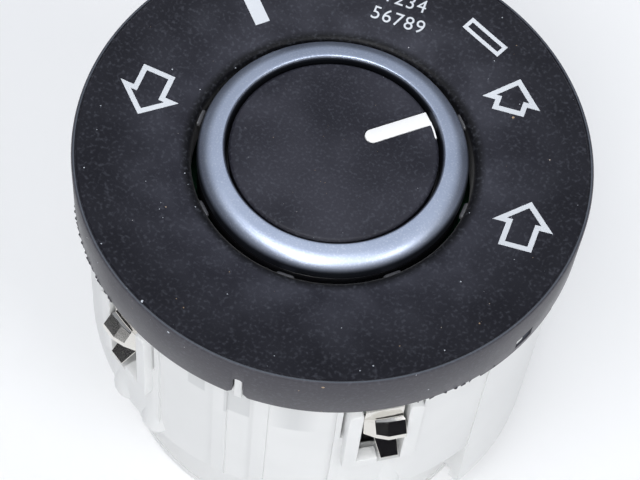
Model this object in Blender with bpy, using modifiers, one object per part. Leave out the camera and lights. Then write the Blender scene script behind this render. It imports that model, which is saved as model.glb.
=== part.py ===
"""Rotary ride height switch for a centre console.

Metres, +Z up. The origin lies on the knob's axis in the plane the switch stands on,
+Y points at the twelve o'clock mark of the dial.
"""
import math

import bmesh
import bpy
from mathutils import Matrix, Vector

# Overall heights, all counted from the plane the switch stands on
RIM_TOP_Z = 0.0540
BASE_PLATE = 0.0016
GAP = 0.0003

# Fascia: the dished black dial with its rim
FASCIA_R = 0.0320
EDGE_INSET = 0.00055
FASCIA_EDGE_R = FASCIA_R - EDGE_INSET
FASCIA_EDGE_RISE = 0.00035
FASCIA_EDGE_DROP = 0.0001
FASCIA_WALL = 0.0015
DISH_ANGLE = math.radians(8.4)
RIM_HEIGHT = 0.0074
RIM_WALL = 0.0014
HOLE_CLEAR = 0.0007
COLLAR_WALL = 0.0014
COLLAR_DEPTH = 0.0065
HOLE_ROLL = 0.0009
HOLE_ROLL_SHARES = ((0.0, 1.0), (0.13, 0.55), (0.45, 0.12))
EDGE_ROUND = (0.62, 0.72)
NOTCH_WIDTH = 0.0014
NOTCH_HEIGHT = 0.0042
NOTCH_FLARE = 0.0028
NOTCH_FLARE_HEIGHT = 0.0009
LATCH_ANGLE = math.radians(23.3)
LATCH_WIDTH = 0.0029
LATCH_HEIGHT = 0.0018
LATCH_FLOOR_RISE = 0.0005
LATCH_LAND = 0.35

# Knob
CAP_R = 0.3956 * FASCIA_R
CAP_CLEAR = 0.00064
CAP_CHAMFER = 0.0003
CAP_THICK = 0.0022
CREST_INSET = 0.0004
RING_INNER_R = CAP_R + CAP_CLEAR
RING_CREST_R = RING_INNER_R + CREST_INSET
RING_CREST_RISE = 0.0006
RING_OUTER_R = 0.525 * FASCIA_R
KNOB_HOLE_R = RING_OUTER_R + HOLE_CLEAR
RING_THICK = 0.0009
# Shares of the way out and of the way down along the ring's slope
RING_SLOPE = ((0.0, 0.0), (0.3, 0.09), (0.55, 0.28), (0.75, 0.52), (0.9, 0.76), (1.0, 1.0))
SKIRT_INSET = 0.0001
SKIRT_R = RING_OUTER_R - SKIRT_INSET
SKIRT_WALL = 0.0014
SKIRT_ABOVE_DETENT = 0.0024
WEB_THICK = 0.0018
HUB_R = 0.0054
POINTER_ANGLE = math.radians(90.0 - 46.5)
POINTER_WIDTH = 0.00195
POINTER_START_R = 0.332 * CAP_R
POINTER_CLEAR = 0.0001
STEM_R = 0.0009
STEM_AT_R = 0.711 * CAP_R
STEM_DROP = 0.0032

# Shaft, detent and stops
SHAFT_R = 0.0030
SHAFT_FLAT = 0.0023
SHAFT_TOP_BELOW_WEB = 0.0003
ROTOR_R = 0.3313 * FASCIA_R
ROTOR_THICK = 0.0028
SHOULDER_R = 0.0042
LUG_CLEAR = 0.0006
LUG_ROOT = 0.0021
LUG_HALF_ANGLE = math.radians(7.0)
LUG_HEIGHT = 0.0024
TURN_BACK = math.radians(45.0)
TURN_FORWARD = math.radians(135.0)
DETENT_COUNT = 16
DETENT_OUTER_R = 0.5188 * FASCIA_R
DETENT_WALL = 0.0017
DETENT_DEPTH = 0.0007
DETENT_VALLEY_R = DETENT_OUTER_R - DETENT_WALL
DETENT_TIP_R = DETENT_VALLEY_R - DETENT_DEPTH
LUG_OUTER_R = DETENT_TIP_R - LUG_CLEAR
LUG_INNER_R = ROTOR_R - LUG_ROOT
DETENT_HEIGHT = 0.0057
STOP_CLEAR_R = 0.0010
STOP_INNER_R = ROTOR_R + STOP_CLEAR_R
STOP_HEIGHT = 0.0024
STOP_CLEAR = math.radians(1.3)
LEAF_THICK = 0.00035
LEAF_HEIGHT = 0.0022
LEAF_HALF_ANGLE = math.radians(55.0)
LEAF_BITE = 0.0002
LEAF_NOSE_R = DETENT_TIP_R + LEAF_BITE
LEAF_BOW_SHARE = 0.55
LEAF_NOSE_SPREAD = 0.09
RETAINER_GROOVE_R = 0.0023
RETAINER_GROOVE = 0.0012
RETAINER_R = 0.0046
RETAINER_THICK = 0.0006
RETAINER_MOUTH = math.radians(35.0)
SHAFT_TAIL = 0.0010
WIPER_THICK = 0.0003
WIPER_EDGE = 0.0003
WIPER_OUTER_R = ROTOR_R - WIPER_EDGE
WIPER_HALF_ANGLE = math.radians(34.0)
WIPER_FINGERS = 3
WIPER_FINGER_SHARE = 0.64
WIPER_FINGER_SINK = 0.0001
WIPER_FINGER_SLANT = 1.1
WIPER_FINGER_PAD = 0.0009
WIPER_FINGER_PLACE = 0.4
WIPER_CLEAR = 0.0007

# White housing
BAND_INSET = 0.0014
BAND_R = FASCIA_R - BAND_INSET
BAND_WALL = 0.0020
BAND_DEPTH = 0.6667 * RIM_TOP_Z
LOWER_R = 0.8313 * FASCIA_R
LOWER_WALL = 0.0018
SPIGOT_CLEAR = 0.0004
SPIGOT_HEIGHT = 0.0031
SPIGOT_R = FASCIA_R - RIM_WALL - SPIGOT_CLEAR
FLANGE_INSET = 0.0009
FLANGE_R = FASCIA_R - FLANGE_INSET
FLANGE_THICK = 0.0009
STEP_FLOOR = 0.0016
BAND_FILLET = 0.0008
FILLET_SHARE = 0.3
DECK_DROP = 0.0183
DECK_THICK = 0.0016
BOSS_R = 0.0066
BOSS_DROP = 0.0062
BOSS_RISE = 0.0016
BUSH_WALL = 0.0014
BUSH_CLEAR = 0.0001
BUSH_HEAD_R = 0.0063
BUSH_HEAD = 0.0008
PANEL_DEPTH = 0.0008
PANEL_TOP_DROP = 0.0004
PANEL_BOTTOM_RISE = 0.0012
RIB_AT_ANGLE = math.radians(5.0)
RIB_HALF_ANGLE = math.radians(1.7)
PANEL_END_ANGLE = math.radians(22.3)
KEY_HALF_ANGLE = math.radians(29.6)
KEY_RISE = 0.0002
KEY_R = BAND_R + KEY_RISE
KEY_WALL = 0.0016
KEY_DEPTH = 0.8704 * RIM_TOP_Z
KEY_WEB_ANGLE = math.radians(2.2)
KEY_WEB_RISE = 0.0006
NUB_CLEAR = 0.0002

# Clip pockets and clips
CLIP_ANGLE = math.radians(33.2)
POCKET_WIDTH = 0.0094
POCKET_SLOT = 0.0004
POCKET_TOP_DROP = 0.0005
POCKET_EAR_GAP = 0.0007
POCKET_DEPTH = 0.0254
POCKET_LEDGE = 0.0077
POCKET_SILL = 0.0022
POCKET_SLOT_DEPTH = POCKET_DEPTH - POCKET_LEDGE
POCKET_MOUTH_DEPTH = POCKET_DEPTH - POCKET_SILL
EAR_WIDTH = 0.00185
POCKET_MOUTH_WIDTH = POCKET_WIDTH - 2 * EAR_WIDTH
POCKET_RISE = 0.0008
POCKET_THICK = 0.0026
POCKET_R = BAND_R + POCKET_RISE
POCKET_BACK_R = POCKET_R - POCKET_THICK
POCKET_CORNER = 0.0016
EAR_CORNER = 0.0009
TAIL_SLOT = 0.0009
TAIL_WALL = 0.0017
FOOT_ANGLE_INNER = math.radians(25.1)
FOOT_ANGLE_OUTER = math.radians(37.2)
FOOT_R = 0.0023
FOOT_INSET = 0.0014
FOOT_AT_R = BAND_R - FOOT_INSET
CLIP_THICK = 0.0004
CLIP_HALF_WIDTH = POCKET_MOUTH_WIDTH / 2 - GAP
CLIP_NOSE_OUT = 0.0019
CLIP_RIDGE_AT = 0.0003
CLIP_TAPER = 0.00145
# Bends from the leg to the tail, as shares: of the nose's reach beyond the band's face, of the
# way down the pocket, of the taper, and of the half width towards the notch and away from it
CLIP_PATH = (
    (-1.316, -0.277, 0.0, 1.0, 0.47),
    (-1.316, 0.050, 0.0, 1.0, 0.47),
    (0.053, 0.078, 0.0, 1.0, 0.47),
    (0.053, 0.262, 0.2, 1.0, 0.47),
    (0.316, 0.284, 0.5, 1.0, 1.0),
    (0.947, 0.390, 1.0, 1.0, 1.0),
    (1.0, 0.426, 1.0, 1.0, 1.0),
    (0.211, 0.567, 0.6, 0.8, 1.0),
    (-0.579, 0.688, 0.15, 0.5, 1.0),
    (-0.789, 0.773, 0.0, 0.5, 0.9),
    (-0.789, 1.035, 0.0, 0.5, 0.9),
)

# Board, lamps, light guide and connector
BOARD_INSET = 0.0032
BOARD_R = BAND_R - BOARD_INSET
BOARD_THICK = 0.0016
BOARD_HOLE_R = 0.0072
LAMP_AT_R = 0.7031 * FASCIA_R
LAMP_LENGTH = 0.0032
LAMP_WIDTH = 0.0028
LAMP_HEIGHT = 0.0014
LAMP_EDGE = 0.00017
LAMP_CLOCK_ANGLES = (-90.0, -45.0, 0.0, 26.5, 46.5, 90.0)
GUIDE_CLEAR = 0.0009
GUIDE_INSET = 0.0031
GUIDE_INNER_R = KNOB_HOLE_R + COLLAR_WALL + GUIDE_CLEAR
GUIDE_OUTER_R = BAND_R - GUIDE_INSET
GUIDE_BOTTOM_DROP = 0.0060
GUIDE_PIPE_R = 0.0016
SCREW_AT_R = 0.6875 * FASCIA_R
SCREW_ANGLES = (math.radians(200.0), math.radians(340.0))
SCREW_R = 0.0011
SCREW_HEAD_R = 0.0022
SCREW_HEAD = 0.0012
SCREW_HEAD_CHAMFER = 0.00045
SCREW_LENGTH = 0.0070
SCREW_BOSS_WALL = 0.0014
PIN_COUNT = 6
PIN_PITCH = 0.00254
PIN_SIZE = 0.00064
PIN_EDGE = 0.00013
PIN_TOP_STAND = 0.0002
PIN_TIP_Z = 0.0055
SOCKET_LENGTH = 0.0168
SOCKET_WIDTH = 0.0072
SOCKET_DEPTH = 0.0104
SOCKET_WALL = 0.0011
SOCKET_INSET = 0.0001
PLUG_RING_WALL = 0.0011
PLUG_RING_HEIGHT = 0.0030

# Facets round the outer forms, the inner forms and the small ones
FINE_STEPS = 64
ROUND_STEPS = 40
SMALL_STEPS = 12
POCKET_STEPS = 4
VALLEY_STEPS = 6
LEAF_STEPS = 28

# Heights worked out from the sizes above
RIM_BOTTOM_Z = RIM_TOP_Z - RIM_HEIGHT
FLANGE_TOP_Z = RIM_BOTTOM_Z - GAP
FLANGE_BOTTOM_Z = FLANGE_TOP_Z - FLANGE_THICK
BAND_BOTTOM_Z = RIM_TOP_Z - BAND_DEPTH
LOWER_BOTTOM_Z = BASE_PLATE + GAP
BAND_INNER_R = BAND_R - BAND_WALL
DECK_TOP_Z = RIM_TOP_Z - DECK_DROP
DECK_BOTTOM_Z = DECK_TOP_Z - DECK_THICK
BOARD_BOTTOM_Z = DECK_TOP_Z + GAP
BOARD_TOP_Z = BOARD_BOTTOM_Z + BOARD_THICK
BOSS_TOP_Z = DECK_TOP_Z + BOSS_RISE
BOSS_BOTTOM_Z = DECK_BOTTOM_Z - BOSS_DROP
BOSS_BORE_R = SHAFT_R + BUSH_CLEAR + BUSH_WALL + GAP
BUSH_HEAD_TOP_Z = BOSS_TOP_Z + GAP + BUSH_HEAD
ROTOR_BOTTOM_Z = BOARD_TOP_Z + GAP + STOP_HEIGHT + GAP
ROTOR_TOP_Z = ROTOR_BOTTOM_Z + ROTOR_THICK
WEB_TOP_Z = RIM_TOP_Z - CAP_THICK - GAP
WEB_BOTTOM_Z = WEB_TOP_Z - WEB_THICK
DETENT_BOTTOM_Z = BOARD_TOP_Z + GAP
DETENT_TOP_Z = DETENT_BOTTOM_Z + DETENT_HEIGHT
POCKET_TOP_Z = FLANGE_BOTTOM_Z - POCKET_TOP_DROP
POCKET_SILL_Z = RIM_TOP_Z - POCKET_MOUTH_DEPTH
PLUG_RING_R = LOWER_R - LOWER_WALL - GAP
SOCKET_HALF_X = SOCKET_LENGTH / 2 + SOCKET_WALL
SOCKET_HALF_Y = SOCKET_WIDTH / 2 + SOCKET_WALL
SOCKET_REACH = math.sqrt((PLUG_RING_R - SOCKET_INSET) ** 2 - SOCKET_HALF_X ** 2)
PIN_AT_Y = SOCKET_HALF_Y - SOCKET_REACH
SCREW_BOSS_R = SCREW_R + GAP + SCREW_BOSS_WALL
WIPER_INNER_R = BUSH_HEAD_R + WIPER_CLEAR


def face_height(radius):
    """Height of the dished dial face at a radius."""
    fall = (FASCIA_EDGE_R - radius) * math.tan(DISH_ANGLE)
    return RIM_TOP_Z + FASCIA_EDGE_RISE - fall


def start_scene():
    for item in list(bpy.data.objects):
        bpy.data.objects.remove(item, do_unlink=True)
    groups = []
    for name in ("ride_height_switch", "cutters"):
        group = bpy.data.collections.new(name)
        bpy.context.scene.collection.children.link(group)
        groups.append(group)
    return groups


PART, CUTTERS = start_scene()


def finish(name, color, roughness, metallic=0.0, transmission=0.0):
    material = bpy.data.materials.new(name)
    material.use_nodes = True
    shader = material.node_tree.nodes["Principled BSDF"]
    shader.inputs["Base Color"].default_value = (*color, 1.0)
    shader.inputs["Roughness"].default_value = roughness
    shader.inputs["Metallic"].default_value = metallic
    shader.inputs["Transmission Weight"].default_value = transmission
    return material


def place(item, group, material=None):
    group.objects.link(item)
    if material is not None:
        item.data.materials.append(material)
    if group is CUTTERS:
        item.hide_render = True
        item.display_type = "WIRE"
    return item


def mesh_from(bm, name):
    bmesh.ops.recalc_face_normals(bm, faces=bm.faces)
    mesh = bpy.data.meshes.new(name)
    bm.to_mesh(mesh)
    bm.free()
    return mesh


def turned(name, profile, group, material=None, steps=ROUND_STEPS, closed=True):
    """Turn a profile of (radius, height) points, outer side top to bottom, about Z."""
    count = len(profile)
    edges = [(i, i + 1) for i in range(count - 1)]
    if closed:
        edges.append((count - 1, 0))
    mesh = bpy.data.meshes.new(name)
    mesh.from_pydata([(r, 0.0, z) for r, z in profile], edges, [])
    item = place(bpy.data.objects.new(name, mesh), group, material)
    screw = item.modifiers.new("turn", "SCREW")
    screw.steps = steps
    screw.render_steps = steps
    screw.use_merge_vertices = True
    screw.merge_threshold = 0.00001
    return item


def outlined(name, outline, near, far, group, material=None, frame=None):
    """Extrude a flat outline from near to far along the third axis of its frame."""
    curve = bpy.data.curves.new(name, "CURVE")
    curve.dimensions = "2D"
    curve.fill_mode = "BOTH"
    curve.extrude = (far - near) / 2
    spline = curve.splines.new("POLY")
    spline.points.add(len(outline) - 1)
    for point, (a, b) in zip(spline.points, outline):
        point.co = (a, b, 0.0, 1.0)
    spline.use_cyclic_u = True
    guide = bpy.data.objects.new(name + "_outline", curve)
    bpy.context.scene.collection.objects.link(guide)
    depsgraph = bpy.context.evaluated_depsgraph_get()
    filled = bpy.data.meshes.new_from_object(guide.evaluated_get(depsgraph))
    bm = bmesh.new()
    bm.from_mesh(filled)
    bmesh.ops.remove_doubles(bm, verts=bm.verts, dist=0.000001)
    bmesh.ops.translate(bm, verts=bm.verts, vec=(0.0, 0.0, (near + far) / 2))
    mesh = mesh_from(bm, name)
    bpy.data.objects.remove(guide, do_unlink=True)
    bpy.data.meshes.remove(filled)
    item = place(bpy.data.objects.new(name, mesh), group, material)
    if frame is not None:
        item.matrix_world = frame
    return item


def block(name, low, high, group, material=None, frame=None, edge=0.0):
    """A box between two corners of a frame, with its edges rounded if asked."""
    bm = bmesh.new()
    bmesh.ops.create_cube(bm, size=1.0)
    size = [b - a for a, b in zip(low, high)]
    middle = [(a + b) / 2 for a, b in zip(low, high)]
    bmesh.ops.scale(bm, verts=bm.verts, vec=size)
    bmesh.ops.translate(bm, verts=bm.verts, vec=middle)
    item = place(bpy.data.objects.new(name, mesh_from(bm, name)), group, material)
    if frame is not None:
        item.matrix_world = frame
    if edge:
        rounding = item.modifiers.new("edges", "BEVEL")
        rounding.width = edge
        rounding.segments = 1
    return item


def rod(name, radius, low, high, group, material=None, at=(0.0, 0.0), steps=SMALL_STEPS):
    bm = bmesh.new()
    bmesh.ops.create_cone(
        bm, cap_ends=True, segments=steps, radius1=radius, radius2=radius, depth=high - low
    )
    bmesh.ops.translate(bm, verts=bm.verts, vec=(at[0], at[1], (low + high) / 2))
    return place(bpy.data.objects.new(name, mesh_from(bm, name)), group, material)


def combine(item, other, operation):
    step = item.modifiers.new(other.name, "BOOLEAN")
    step.operation = operation
    step.solver = "EXACT"
    step.object = other


def cut(item, other):
    combine(item, other, "DIFFERENCE")


def join(item, other):
    combine(item, other, "UNION")


def around(angle):
    """Frame with X tangential, Y up and Z pointing outwards at an angle."""
    outward = Vector((math.cos(angle), math.sin(angle), 0.0))
    tangent = Vector((-math.sin(angle), math.cos(angle), 0.0))
    frame = Matrix.Identity(4)
    frame.col[0] = (*tangent, 0.0)
    frame.col[1] = (0.0, 0.0, 1.0, 0.0)
    frame.col[2] = (*outward, 0.0)
    return frame


def section(angle):
    """Frame with X pointing outwards at an angle, Y up and Z tangential."""
    frame = Matrix.Identity(4)
    frame.col[0] = (math.cos(angle), math.sin(angle), 0.0, 0.0)
    frame.col[1] = (0.0, 0.0, 1.0, 0.0)
    frame.col[2] = (math.sin(angle), -math.cos(angle), 0.0, 0.0)
    return frame


def polar(radius, angle):
    return radius * math.cos(angle), radius * math.sin(angle)


def arc(radius, start, end, steps, centre=(0.0, 0.0)):
    points = []
    for i in range(steps + 1):
        x, y = polar(radius, start + (end - start) * i / steps)
        points.append((centre[0] + x, centre[1] + y))
    return points


def sector(inner, outer, start, end):
    """Outline of a piece of a ring, with points as far apart as on the housing."""
    steps = max(2, round(abs(end - start) / (2 * math.pi / FINE_STEPS)))
    return arc(outer, start, end, steps) + arc(inner, end, start, steps)


def clock(degrees):
    """Angle from +X of a place on the dial, given clockwise from twelve o'clock."""
    return math.radians(90.0 - degrees)


def four_around(angle):
    """The four angles that mirror one another about six o'clock and the X axis."""
    half = math.pi / 2
    return [-half + angle, -half - angle, half - angle, half + angle]


BLACK_PAINT = finish("black_soft_paint", (0.018, 0.019, 0.024), 0.48)
SATIN_METAL = finish("satin_ring", (0.36, 0.42, 0.52), 0.28, 0.85)
SOFT_BLACK = finish("soft_touch_cap", (0.022, 0.023, 0.027), 0.55)
WHITE_LENS = finish("pointer_white", (0.86, 0.88, 0.90), 0.30)
BLACK_PLASTIC = finish("black_moulding", (0.012, 0.012, 0.014), 0.42)
WHITE_PLASTIC = finish("white_moulding", (0.80, 0.81, 0.80), 0.32)
CLEAR_PLASTIC = finish("light_guide_clear", (0.82, 0.86, 0.90), 0.15, 0.0, 0.6)
SPRING_STEEL = finish("spring_steel", (0.56, 0.54, 0.50), 0.22, 1.0)
BRASS = finish("brass", (0.62, 0.44, 0.16), 0.30, 1.0)
BOARD_GREEN = finish("board_green", (0.02, 0.16, 0.07), 0.45)
LAMP_WHITE = finish("lamp_white", (0.82, 0.80, 0.66), 0.40)
TINNED = finish("tinned_pin", (0.60, 0.58, 0.52), 0.30, 1.0)


def build_fascia():
    under = face_height(KNOB_HOLE_R + COLLAR_WALL) - FASCIA_WALL
    inner_rim = FASCIA_R - RIM_WALL
    collar_bottom = RIM_TOP_Z - COLLAR_DEPTH
    roll = [
        (KNOB_HOLE_R + out * HOLE_ROLL, face_height(KNOB_HOLE_R) - down * HOLE_ROLL)
        for out, down in HOLE_ROLL_SHARES
    ]
    roll.append((KNOB_HOLE_R + HOLE_ROLL, face_height(KNOB_HOLE_R + HOLE_ROLL)))
    edge = FASCIA_R - FASCIA_EDGE_R
    rounding = [
        (FASCIA_EDGE_R, RIM_TOP_Z + FASCIA_EDGE_RISE),
        (FASCIA_EDGE_R + EDGE_ROUND[0] * edge, RIM_TOP_Z + EDGE_ROUND[1] * FASCIA_EDGE_RISE),
        (FASCIA_R, RIM_TOP_Z - FASCIA_EDGE_DROP),
    ]
    profile = rounding + [
        (FASCIA_R, RIM_BOTTOM_Z),
        (inner_rim, RIM_BOTTOM_Z),
        (inner_rim, face_height(inner_rim) - FASCIA_WALL),
        (KNOB_HOLE_R + COLLAR_WALL, under),
        (KNOB_HOLE_R + COLLAR_WALL, collar_bottom),
        (KNOB_HOLE_R, collar_bottom),
    ] + roll
    fascia = turned("fascia", profile, PART, BLACK_PAINT, FINE_STEPS)
    for cutter in rim_cutters():
        cut(fascia, cutter)
    return fascia


def rim_cutters():
    """The locating notch at six o'clock and the four latch windows of the rim."""
    inside = FASCIA_R - RIM_WALL - SPIGOT_CLEAR / 2
    outside = FASCIA_R + RIM_WALL
    half = NOTCH_WIDTH / 2
    flare_top = RIM_BOTTOM_Z + NOTCH_FLARE_HEIGHT
    crown = RIM_BOTTOM_Z + NOTCH_HEIGHT - half
    below = RIM_BOTTOM_Z - RIM_WALL
    outline = [(-NOTCH_FLARE / 2, below), (NOTCH_FLARE / 2, below), (NOTCH_FLARE / 2, RIM_BOTTOM_Z)]
    outline += [(half, flare_top)]
    outline += arc(half, 0.0, math.pi, 8, (0.0, crown))
    outline += [(-half, flare_top), (-NOTCH_FLARE / 2, RIM_BOTTOM_Z)]
    notch_frame = around(-math.pi / 2)
    cutters = [outlined("notch_cutter", outline, inside, outside, CUTTERS, None, notch_frame)]
    floor = RIM_BOTTOM_Z + LATCH_FLOOR_RISE
    for number, angle in enumerate(latch_angles(), 1):
        low = (-LATCH_WIDTH / 2, floor, inside)
        high = (LATCH_WIDTH / 2, floor + LATCH_HEIGHT, outside)
        name = f"latch_window_cutter_{number}"
        cutters.append(block(name, low, high, CUTTERS, None, around(angle)))
    return cutters


def latch_angles():
    return [-LATCH_ANGLE, LATCH_ANGLE, math.pi - LATCH_ANGLE, math.pi + LATCH_ANGLE]


def build_knob():
    chamfer_z = RIM_TOP_Z - CAP_CHAMFER
    cap_bottom = RIM_TOP_Z - CAP_THICK
    cap_profile = [
        (0.0, RIM_TOP_Z),
        (CAP_R - CAP_CHAMFER, RIM_TOP_Z),
        (CAP_R, chamfer_z),
        (CAP_R, cap_bottom),
        (0.0, cap_bottom),
    ]
    cap = turned("knob_cap", cap_profile, PART, SOFT_BLACK, FINE_STEPS, False)
    slot_outline = pointer_outline(POINTER_CLEAR, CAP_R + CAP_CHAMFER)
    above = RIM_TOP_Z + CAP_THICK
    cut(cap, outlined("pointer_slot_cutter", slot_outline, cap_bottom - CAP_THICK, above, CUTTERS))
    lens_outline = pointer_outline(0.0, CAP_R - CAP_CHAMFER)
    lens = outlined("pointer_lens", lens_outline, cap_bottom, RIM_TOP_Z, PART, WHITE_LENS)
    stem_at = polar(STEM_AT_R, POINTER_ANGLE)
    stem_bottom = cap_bottom - STEM_DROP
    stem_top = RIM_TOP_Z - CAP_THICK / 2
    stem = rod("pointer_stem", STEM_R, stem_bottom, stem_top, CUTTERS, None, stem_at)
    join(lens, stem)

    ring_bottom = cap_bottom
    span = RING_OUTER_R - RING_CREST_R
    crest = RIM_TOP_Z + RING_CREST_RISE
    fall = crest - (ring_bottom + RING_THICK)
    ring_profile = [(RING_INNER_R, crest - (RING_CREST_R - RING_INNER_R))]
    ring_profile += [(RING_CREST_R + span * out, crest - fall * down) for out, down in RING_SLOPE]
    ring_profile += [(RING_OUTER_R, ring_bottom), (RING_INNER_R, ring_bottom)]
    turned("knob_ring", ring_profile, PART, SATIN_METAL, FINE_STEPS)

    skirt_bottom = DETENT_TOP_Z + SKIRT_ABOVE_DETENT
    hub_bottom = ROTOR_TOP_Z + GAP
    body_profile = [
        (0.0, WEB_TOP_Z),
        (SKIRT_R, WEB_TOP_Z),
        (SKIRT_R, skirt_bottom),
        (SKIRT_R - SKIRT_WALL, skirt_bottom),
        (SKIRT_R - SKIRT_WALL, WEB_BOTTOM_Z),
        (HUB_R, WEB_BOTTOM_Z),
        (HUB_R, hub_bottom),
        (0.0, hub_bottom),
    ]
    body = turned("knob_body", body_profile, PART, BLACK_PLASTIC, ROUND_STEPS, False)
    bore = d_outline(SHAFT_R + GAP, SHAFT_FLAT + GAP)
    cut(body, outlined("hub_bore_cutter", bore, hub_bottom - GAP, WEB_BOTTOM_Z + GAP, CUTTERS))
    low = WEB_BOTTOM_Z - GAP
    cut(body, rod("stem_hole_cutter", STEM_R + GAP, low, WEB_TOP_Z + GAP, CUTTERS, None, stem_at))


def pointer_outline(grow, end_r):
    """Bar with a round inner end that runs out along the pointer's angle."""
    half = POINTER_WIDTH / 2 + grow
    centre = POINTER_START_R + POINTER_WIDTH / 2
    along = [(end_r * math.cos(math.asin(half / end_r)), half)]
    along += arc(half, math.pi / 2, 3 * math.pi / 2, SMALL_STEPS // 2, (centre, 0.0))
    along += [(end_r * math.cos(math.asin(half / end_r)), -half)]
    half_end = math.asin(half / end_r)
    along += arc(end_r, -half_end, half_end, 2)[1:-1]
    turn = Matrix.Rotation(POINTER_ANGLE, 2)
    return [tuple(turn @ Vector(point)) for point in along]


def d_outline(radius, flat):
    """Round outline with one flat, for the shaft's drive end."""
    half = math.acos(flat / radius)
    turn = Matrix.Rotation(POINTER_ANGLE, 2)
    curve = arc(radius, half, 2 * math.pi - half, ROUND_STEPS // 2)
    return [tuple(turn @ Vector(point)) for point in curve]


def build_rotor():
    groove_top = BOSS_BOTTOM_Z - GAP
    groove_bottom = groove_top - RETAINER_GROOVE
    shaft_top = WEB_BOTTOM_Z - SHAFT_TOP_BELOW_WEB
    profile = [
        (0.0, ROTOR_TOP_Z),
        (ROTOR_R, ROTOR_TOP_Z),
        (ROTOR_R, ROTOR_BOTTOM_Z),
        (SHOULDER_R, ROTOR_BOTTOM_Z),
        (SHOULDER_R, BUSH_HEAD_TOP_Z + GAP),
        (SHAFT_R, BUSH_HEAD_TOP_Z + GAP),
        (SHAFT_R, groove_top),
        (RETAINER_GROOVE_R, groove_top),
        (RETAINER_GROOVE_R, groove_bottom),
        (SHAFT_R, groove_bottom),
        (SHAFT_R, groove_bottom - SHAFT_TAIL),
        (0.0, groove_bottom - SHAFT_TAIL),
    ]
    rotor = turned("rotor", profile, PART, BLACK_PLASTIC, ROUND_STEPS, False)
    drive = d_outline(SHAFT_R, SHAFT_FLAT)
    join(rotor, outlined("drive_end", drive, ROTOR_TOP_Z - ROTOR_THICK / 2, shaft_top, CUTTERS))
    lug = sector(LUG_INNER_R, LUG_OUTER_R, POINTER_ANGLE - LUG_HALF_ANGLE, POINTER_ANGLE + LUG_HALF_ANGLE)
    lug_bottom = ROTOR_BOTTOM_Z - LUG_HEIGHT
    join(rotor, outlined("stop_lug", lug, lug_bottom, ROTOR_BOTTOM_Z + ROTOR_THICK / 4, CUTTERS))

    clip_top = groove_top - (RETAINER_GROOVE - RETAINER_THICK) / 2
    start = RETAINER_MOUTH
    end = 2 * math.pi - RETAINER_MOUTH
    inner = RETAINER_GROOVE_R + GAP / 2
    clip = arc(RETAINER_R, start, end, ROUND_STEPS // 2) + arc(inner, end, start, ROUND_STEPS // 2)
    outlined("retaining_ring", clip, clip_top - RETAINER_THICK, clip_top, PART, SPRING_STEEL)


def build_wiper():
    """Bent bronze plate under the rotor with fingers that reach down to the board."""
    middle = POINTER_ANGLE + math.pi
    plate_top = ROTOR_BOTTOM_Z - GAP
    plate_bottom = plate_top - WIPER_THICK
    plate = sector(
        WIPER_INNER_R, WIPER_OUTER_R, middle - WIPER_HALF_ANGLE, middle + WIPER_HALF_ANGLE
    )
    wiper = outlined("contact_wiper", plate, plate_bottom, plate_top, PART, BRASS)
    reach = plate_top - (BOARD_TOP_Z + GAP)
    pitch = (WIPER_OUTER_R - WIPER_INNER_R) / WIPER_FINGERS
    for number in range(WIPER_FINGERS):
        track = WIPER_INNER_R + pitch * (number + 0.5)
        run = reach * WIPER_FINGER_SLANT
        outline = [
            (0.0, plate_top - WIPER_FINGER_SINK),
            (run, plate_top - reach + WIPER_THICK),
            (run + WIPER_FINGER_PAD, plate_top - reach + WIPER_THICK),
            (run + WIPER_FINGER_PAD, plate_top - reach),
            (run - WIPER_THICK, plate_top - reach),
            (-WIPER_THICK, plate_bottom + WIPER_FINGER_SINK),
            (-WIPER_FINGER_PAD, plate_bottom + WIPER_FINGER_SINK),
            (-WIPER_FINGER_PAD, plate_top - WIPER_FINGER_SINK),
        ]
        place_at = middle + WIPER_HALF_ANGLE * WIPER_FINGER_PLACE
        frame = Matrix.Rotation(place_at, 4, "Z") @ around(0.0)
        half = pitch * WIPER_FINGER_SHARE / 2
        name = f"wiper_finger_{number + 1}"
        join(wiper, outlined(name, outline, track - half, track + half, CUTTERS, None, frame))


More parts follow.
